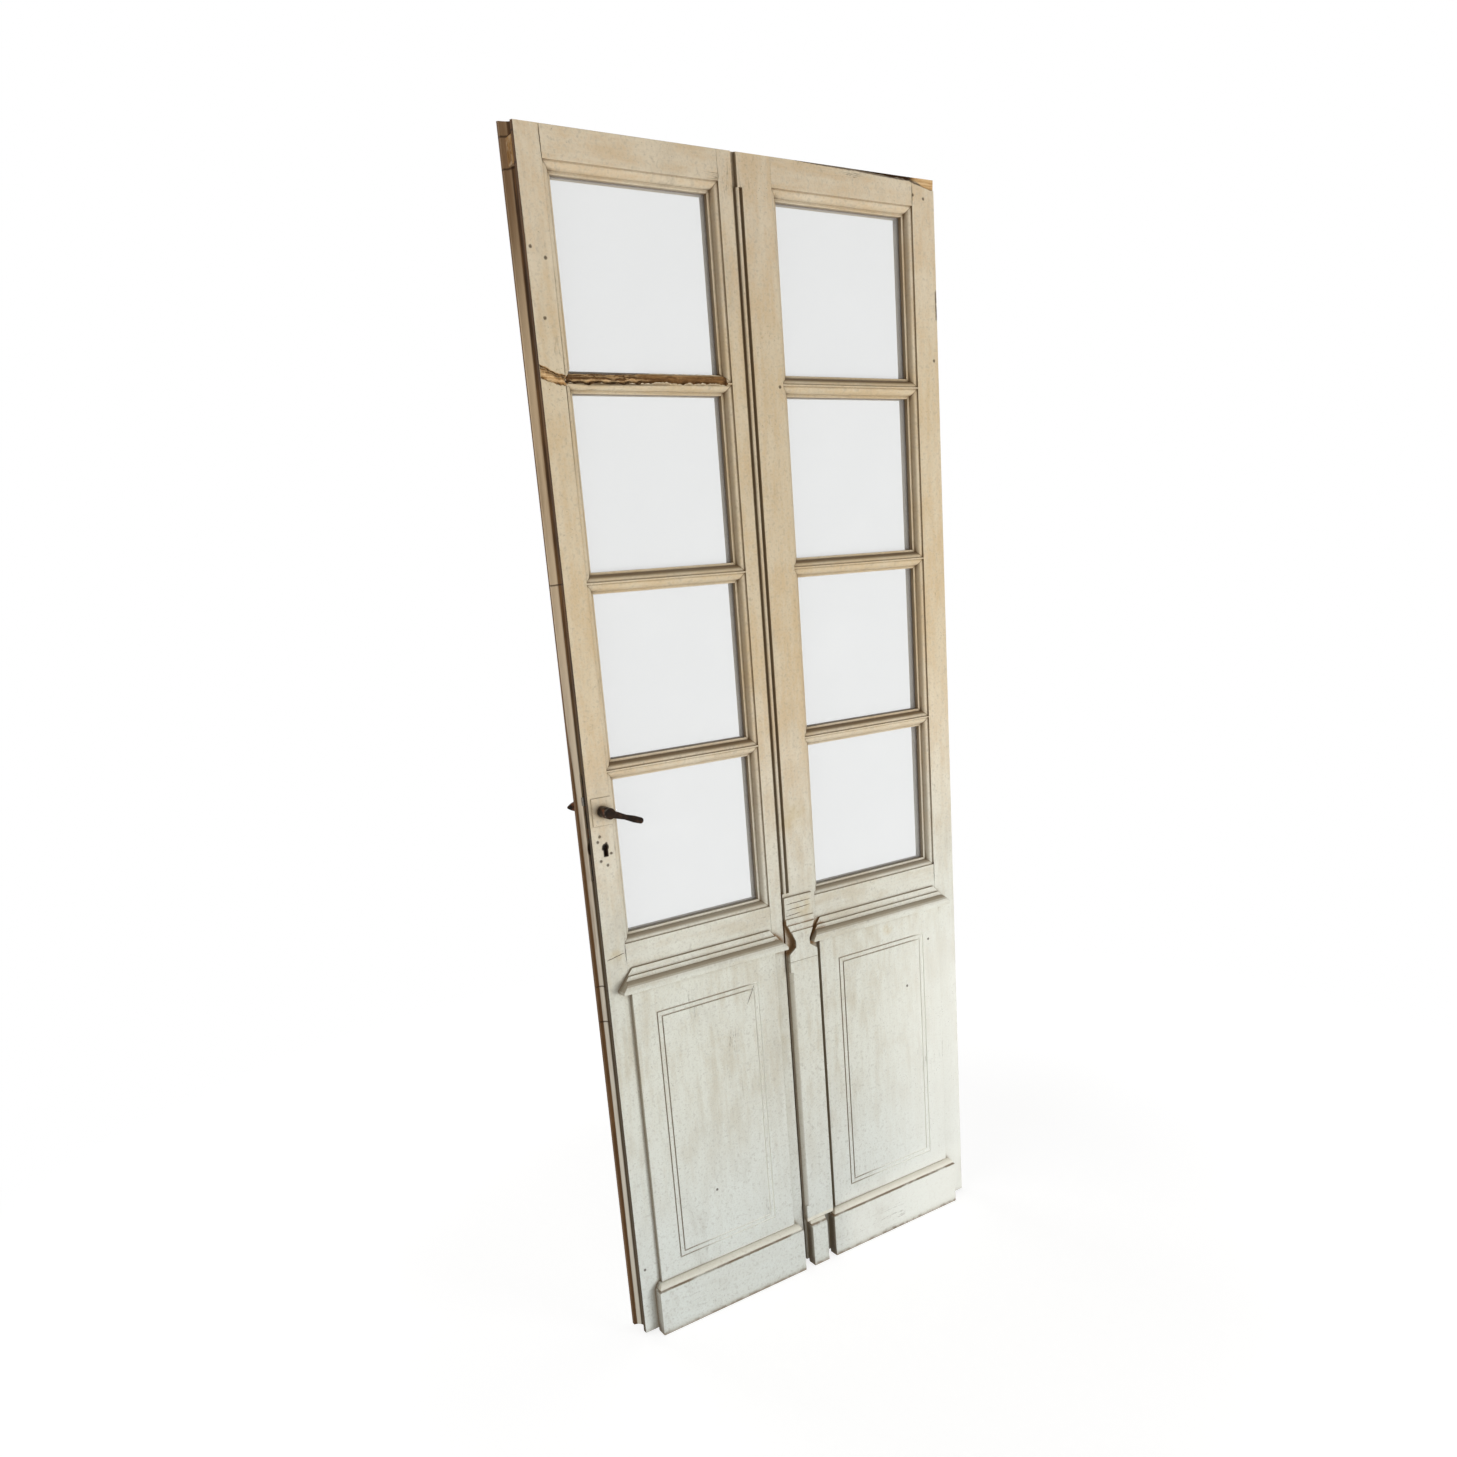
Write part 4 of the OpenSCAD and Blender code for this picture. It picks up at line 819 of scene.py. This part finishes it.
def corner_chip():
    """The split along the top of the hung leaf that ends in a flaked corner."""
    top = TOP_ARRIS_Z + 0.006
    rings = []
    for x in stations(SPLIT_START_X, HANG_EDGE_X + 0.003):
        opening = eased(x, SPLIT_START_X, FLAKE_START_X)
        flake = eased(x, FLAKE_START_X, HANG_EDGE_X - 0.006)
        edge = TOP_ARRIS_Z - 0.0010 - 0.0050 * opening - 0.0130 * flake
        edge = edge + 0.0018 * opening * jag(x, 0.010, 11.0)
        depth = 0.0015 + 0.0025 * opening - 0.0010 * flake + 0.0008 * opening * jag(x, 0.007, 12.0)
        rings.append([(x, TOOL_FRONT_Y, edge), (x, FACE_Y + depth * 1.3, edge + 0.0010),
                      (x, FACE_Y + depth, edge + 0.004), (x, FACE_Y + depth * 0.4, top),
                      (x, TOOL_FRONT_Y, top)])
    return loft("corner_chip", rings, broken_wood("corner_fibres", 0.9, dark_before_x=DARK_SPLIT_END_X))


def shaped_mesh(node):
    """A new mesh of a node as its modifiers shape it."""
    return bpy.data.meshes.new_from_object(node.evaluated_get(bpy.context.evaluated_depsgraph_get()))


def stand_in(name, mesh, node_name, body):
    """A piece that stands for a solid, on the same body and with the same finish."""
    piece = bpy.data.objects.new(name, mesh)
    bpy.context.scene.collection.objects.link(piece)
    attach(piece, body)
    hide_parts(node_name)


def broken_copy(node_name, tool, body):
    """A copy of a solid with a break cut out of it, which stands for that solid."""
    node = nodes[node_name]
    cut = node.modifiers.new("break", "BOOLEAN")
    cut.operation = "DIFFERENCE"
    cut.solver = "EXACT"
    cut.object = tool
    cut.material_mode = "TRANSFER"
    mesh = shaped_mesh(node)
    node.modifiers.remove(cut)
    stand_in(node_name + "_broken", mesh, node_name, body)


def break_old_wood():
    tools = {"bar": bar_break(), "stile": stile_tear(), "corner": corner_chip()}
    broken_copy("lock_bar_3", tools["bar"], "lock_leaf")
    broken_copy("lock_stile", tools["stile"], "lock_leaf")
    broken_copy("hung_top_rail", tools["corner"], "hung_leaf")
    broken_copy("hanging_stile", tools["corner"], "hung_leaf")
    for tool in tools.values():
        bpy.data.objects.remove(tool)


def stout_lever():
    """The front lever, a little thicker than its solid in the plane of the leaf, and no deeper."""
    mesh = shaped_mesh(nodes["front_lever"])
    outward = [vertex.normal.copy() for vertex in mesh.vertices]
    for vertex, normal in zip(mesh.vertices, outward):
        vertex.co += Vector((normal.x, 0.0, normal.z)) * LEVER_SWELL
    stand_in("front_lever_stout", mesh, "front_lever", "handle")


break_old_wood()
stout_lever()

FLOOR_HALF = 30.0
FLOOR_FADE = (0.8, 2.4)
FLOOR_GLOW = 0.55
WORLD_STRENGTH = 0.27
LAMPS = [("window_light", (2.0, -3.7, 1.0), (0.0, 0.0, 1.15), 57.0, 1.6),
         ("front_fill", (-1.7, -3.3, 1.3), (0.0, 0.0, 1.2), 18.0, 1.6),
         ("ground_light", (1.3, -2.3, 0.06), (0.1, 0.0, 1.8), 41.0, 1.2),
         ("side_light", (-3.6, -1.2, 1.3), (-0.3, 0.0, 1.2), 34.0, 1.6),
         ("back_light", (-0.8, 3.6, 0.9), (0.0, 0.0, 1.2), 80.0, 2.0)]


def pale_floor():
    """A wide pale floor, white to the camera apart from the shadow of the leaves."""
    height = cad_low.z
    corners = [(-FLOOR_HALF, -FLOOR_HALF, height), (FLOOR_HALF, -FLOOR_HALF, height),
               (FLOOR_HALF, FLOOR_HALF, height), (-FLOOR_HALF, FLOOR_HALF, height)]
    mesh = bpy.data.meshes.new("pale_floor")
    mesh.from_pydata(corners, [], [(0, 1, 2, 3)])
    floor = bpy.data.objects.new("pale_floor", mesh)
    bpy.context.scene.collection.objects.link(floor)
    f = Finish("pale_floor")
    far = f.vector("LENGTH", f.place, out="Value").ramp(*FLOOR_FADE)
    lit = f.node("ShaderNodeBsdfDiffuse", {}, {"Color": FLOOR_GREY})
    glow = f.node("ShaderNodeEmission", {}, {"Color": f.mix(NEAR_FLOOR, WHITE, far), "Strength": 1.0})
    share = f.seen_by_eye() * (FLOOR_GLOW + (1 - FLOOR_GLOW) * far)
    shader = f.node("ShaderNodeMixShader", {}, {0: share, 1: lit, 2: glow})
    f.node("ShaderNodeOutputMaterial", {}, {"Surface": shader})
    mesh.materials.append(f.owner)


def white_world():
    """Even light from all round, white to the camera."""
    world = bpy.data.worlds.new("white_world")
    bpy.context.scene.world = world
    shades = Shades(world)
    around = shades.node("ShaderNodeBackground", {}, {"Color": ROOM_LIGHT, "Strength": WORLD_STRENGTH})
    behind = shades.node("ShaderNodeBackground", {}, {"Color": WHITE, "Strength": 1.0})
    blend = shades.node("ShaderNodeMixShader", {}, {0: shades.seen_by_eye(), 1: around, 2: behind})
    shades.node("ShaderNodeOutputWorld", {}, {"Surface": blend})


def soft_lamp(name, place, aim, power, size):
    data = bpy.data.lights.new(name, "AREA")
    data.shape = "SQUARE"
    data.size = size
    data.energy = power
    lamp = bpy.data.objects.new(name, data)
    lamp.location = place
    lamp.rotation_euler = (Vector(aim) - Vector(place)).to_track_quat("-Z", "Y").to_euler()
    lamp.visible_glossy = False
    bpy.context.scene.collection.objects.link(lamp)


def photo_camera():
    data = bpy.data.cameras.new("photo_camera")
    data.sensor_width = SENSOR_WIDTH
    data.lens = FOCAL_PIXELS / IMAGE_PIXELS * SENSOR_WIDTH
    data.shift_y = AXIS_PIXEL_Y / IMAGE_PIXELS - 0.5
    camera = bpy.data.objects.new("photo_camera", data)
    turn = Matrix((CAMERA_RIGHT, -CAMERA_DOWN, -CAMERA_FORWARD)).transposed()
    camera.matrix_world = Matrix.Translation(CAMERA_PLACE) @ turn.to_4x4()
    bpy.context.scene.collection.objects.link(camera)
    bpy.context.scene.camera = camera


pale_floor()
white_world()
for lamp in LAMPS:
    soft_lamp(*lamp)
photo_camera()
bpy.context.scene.view_settings.view_transform = "Standard"
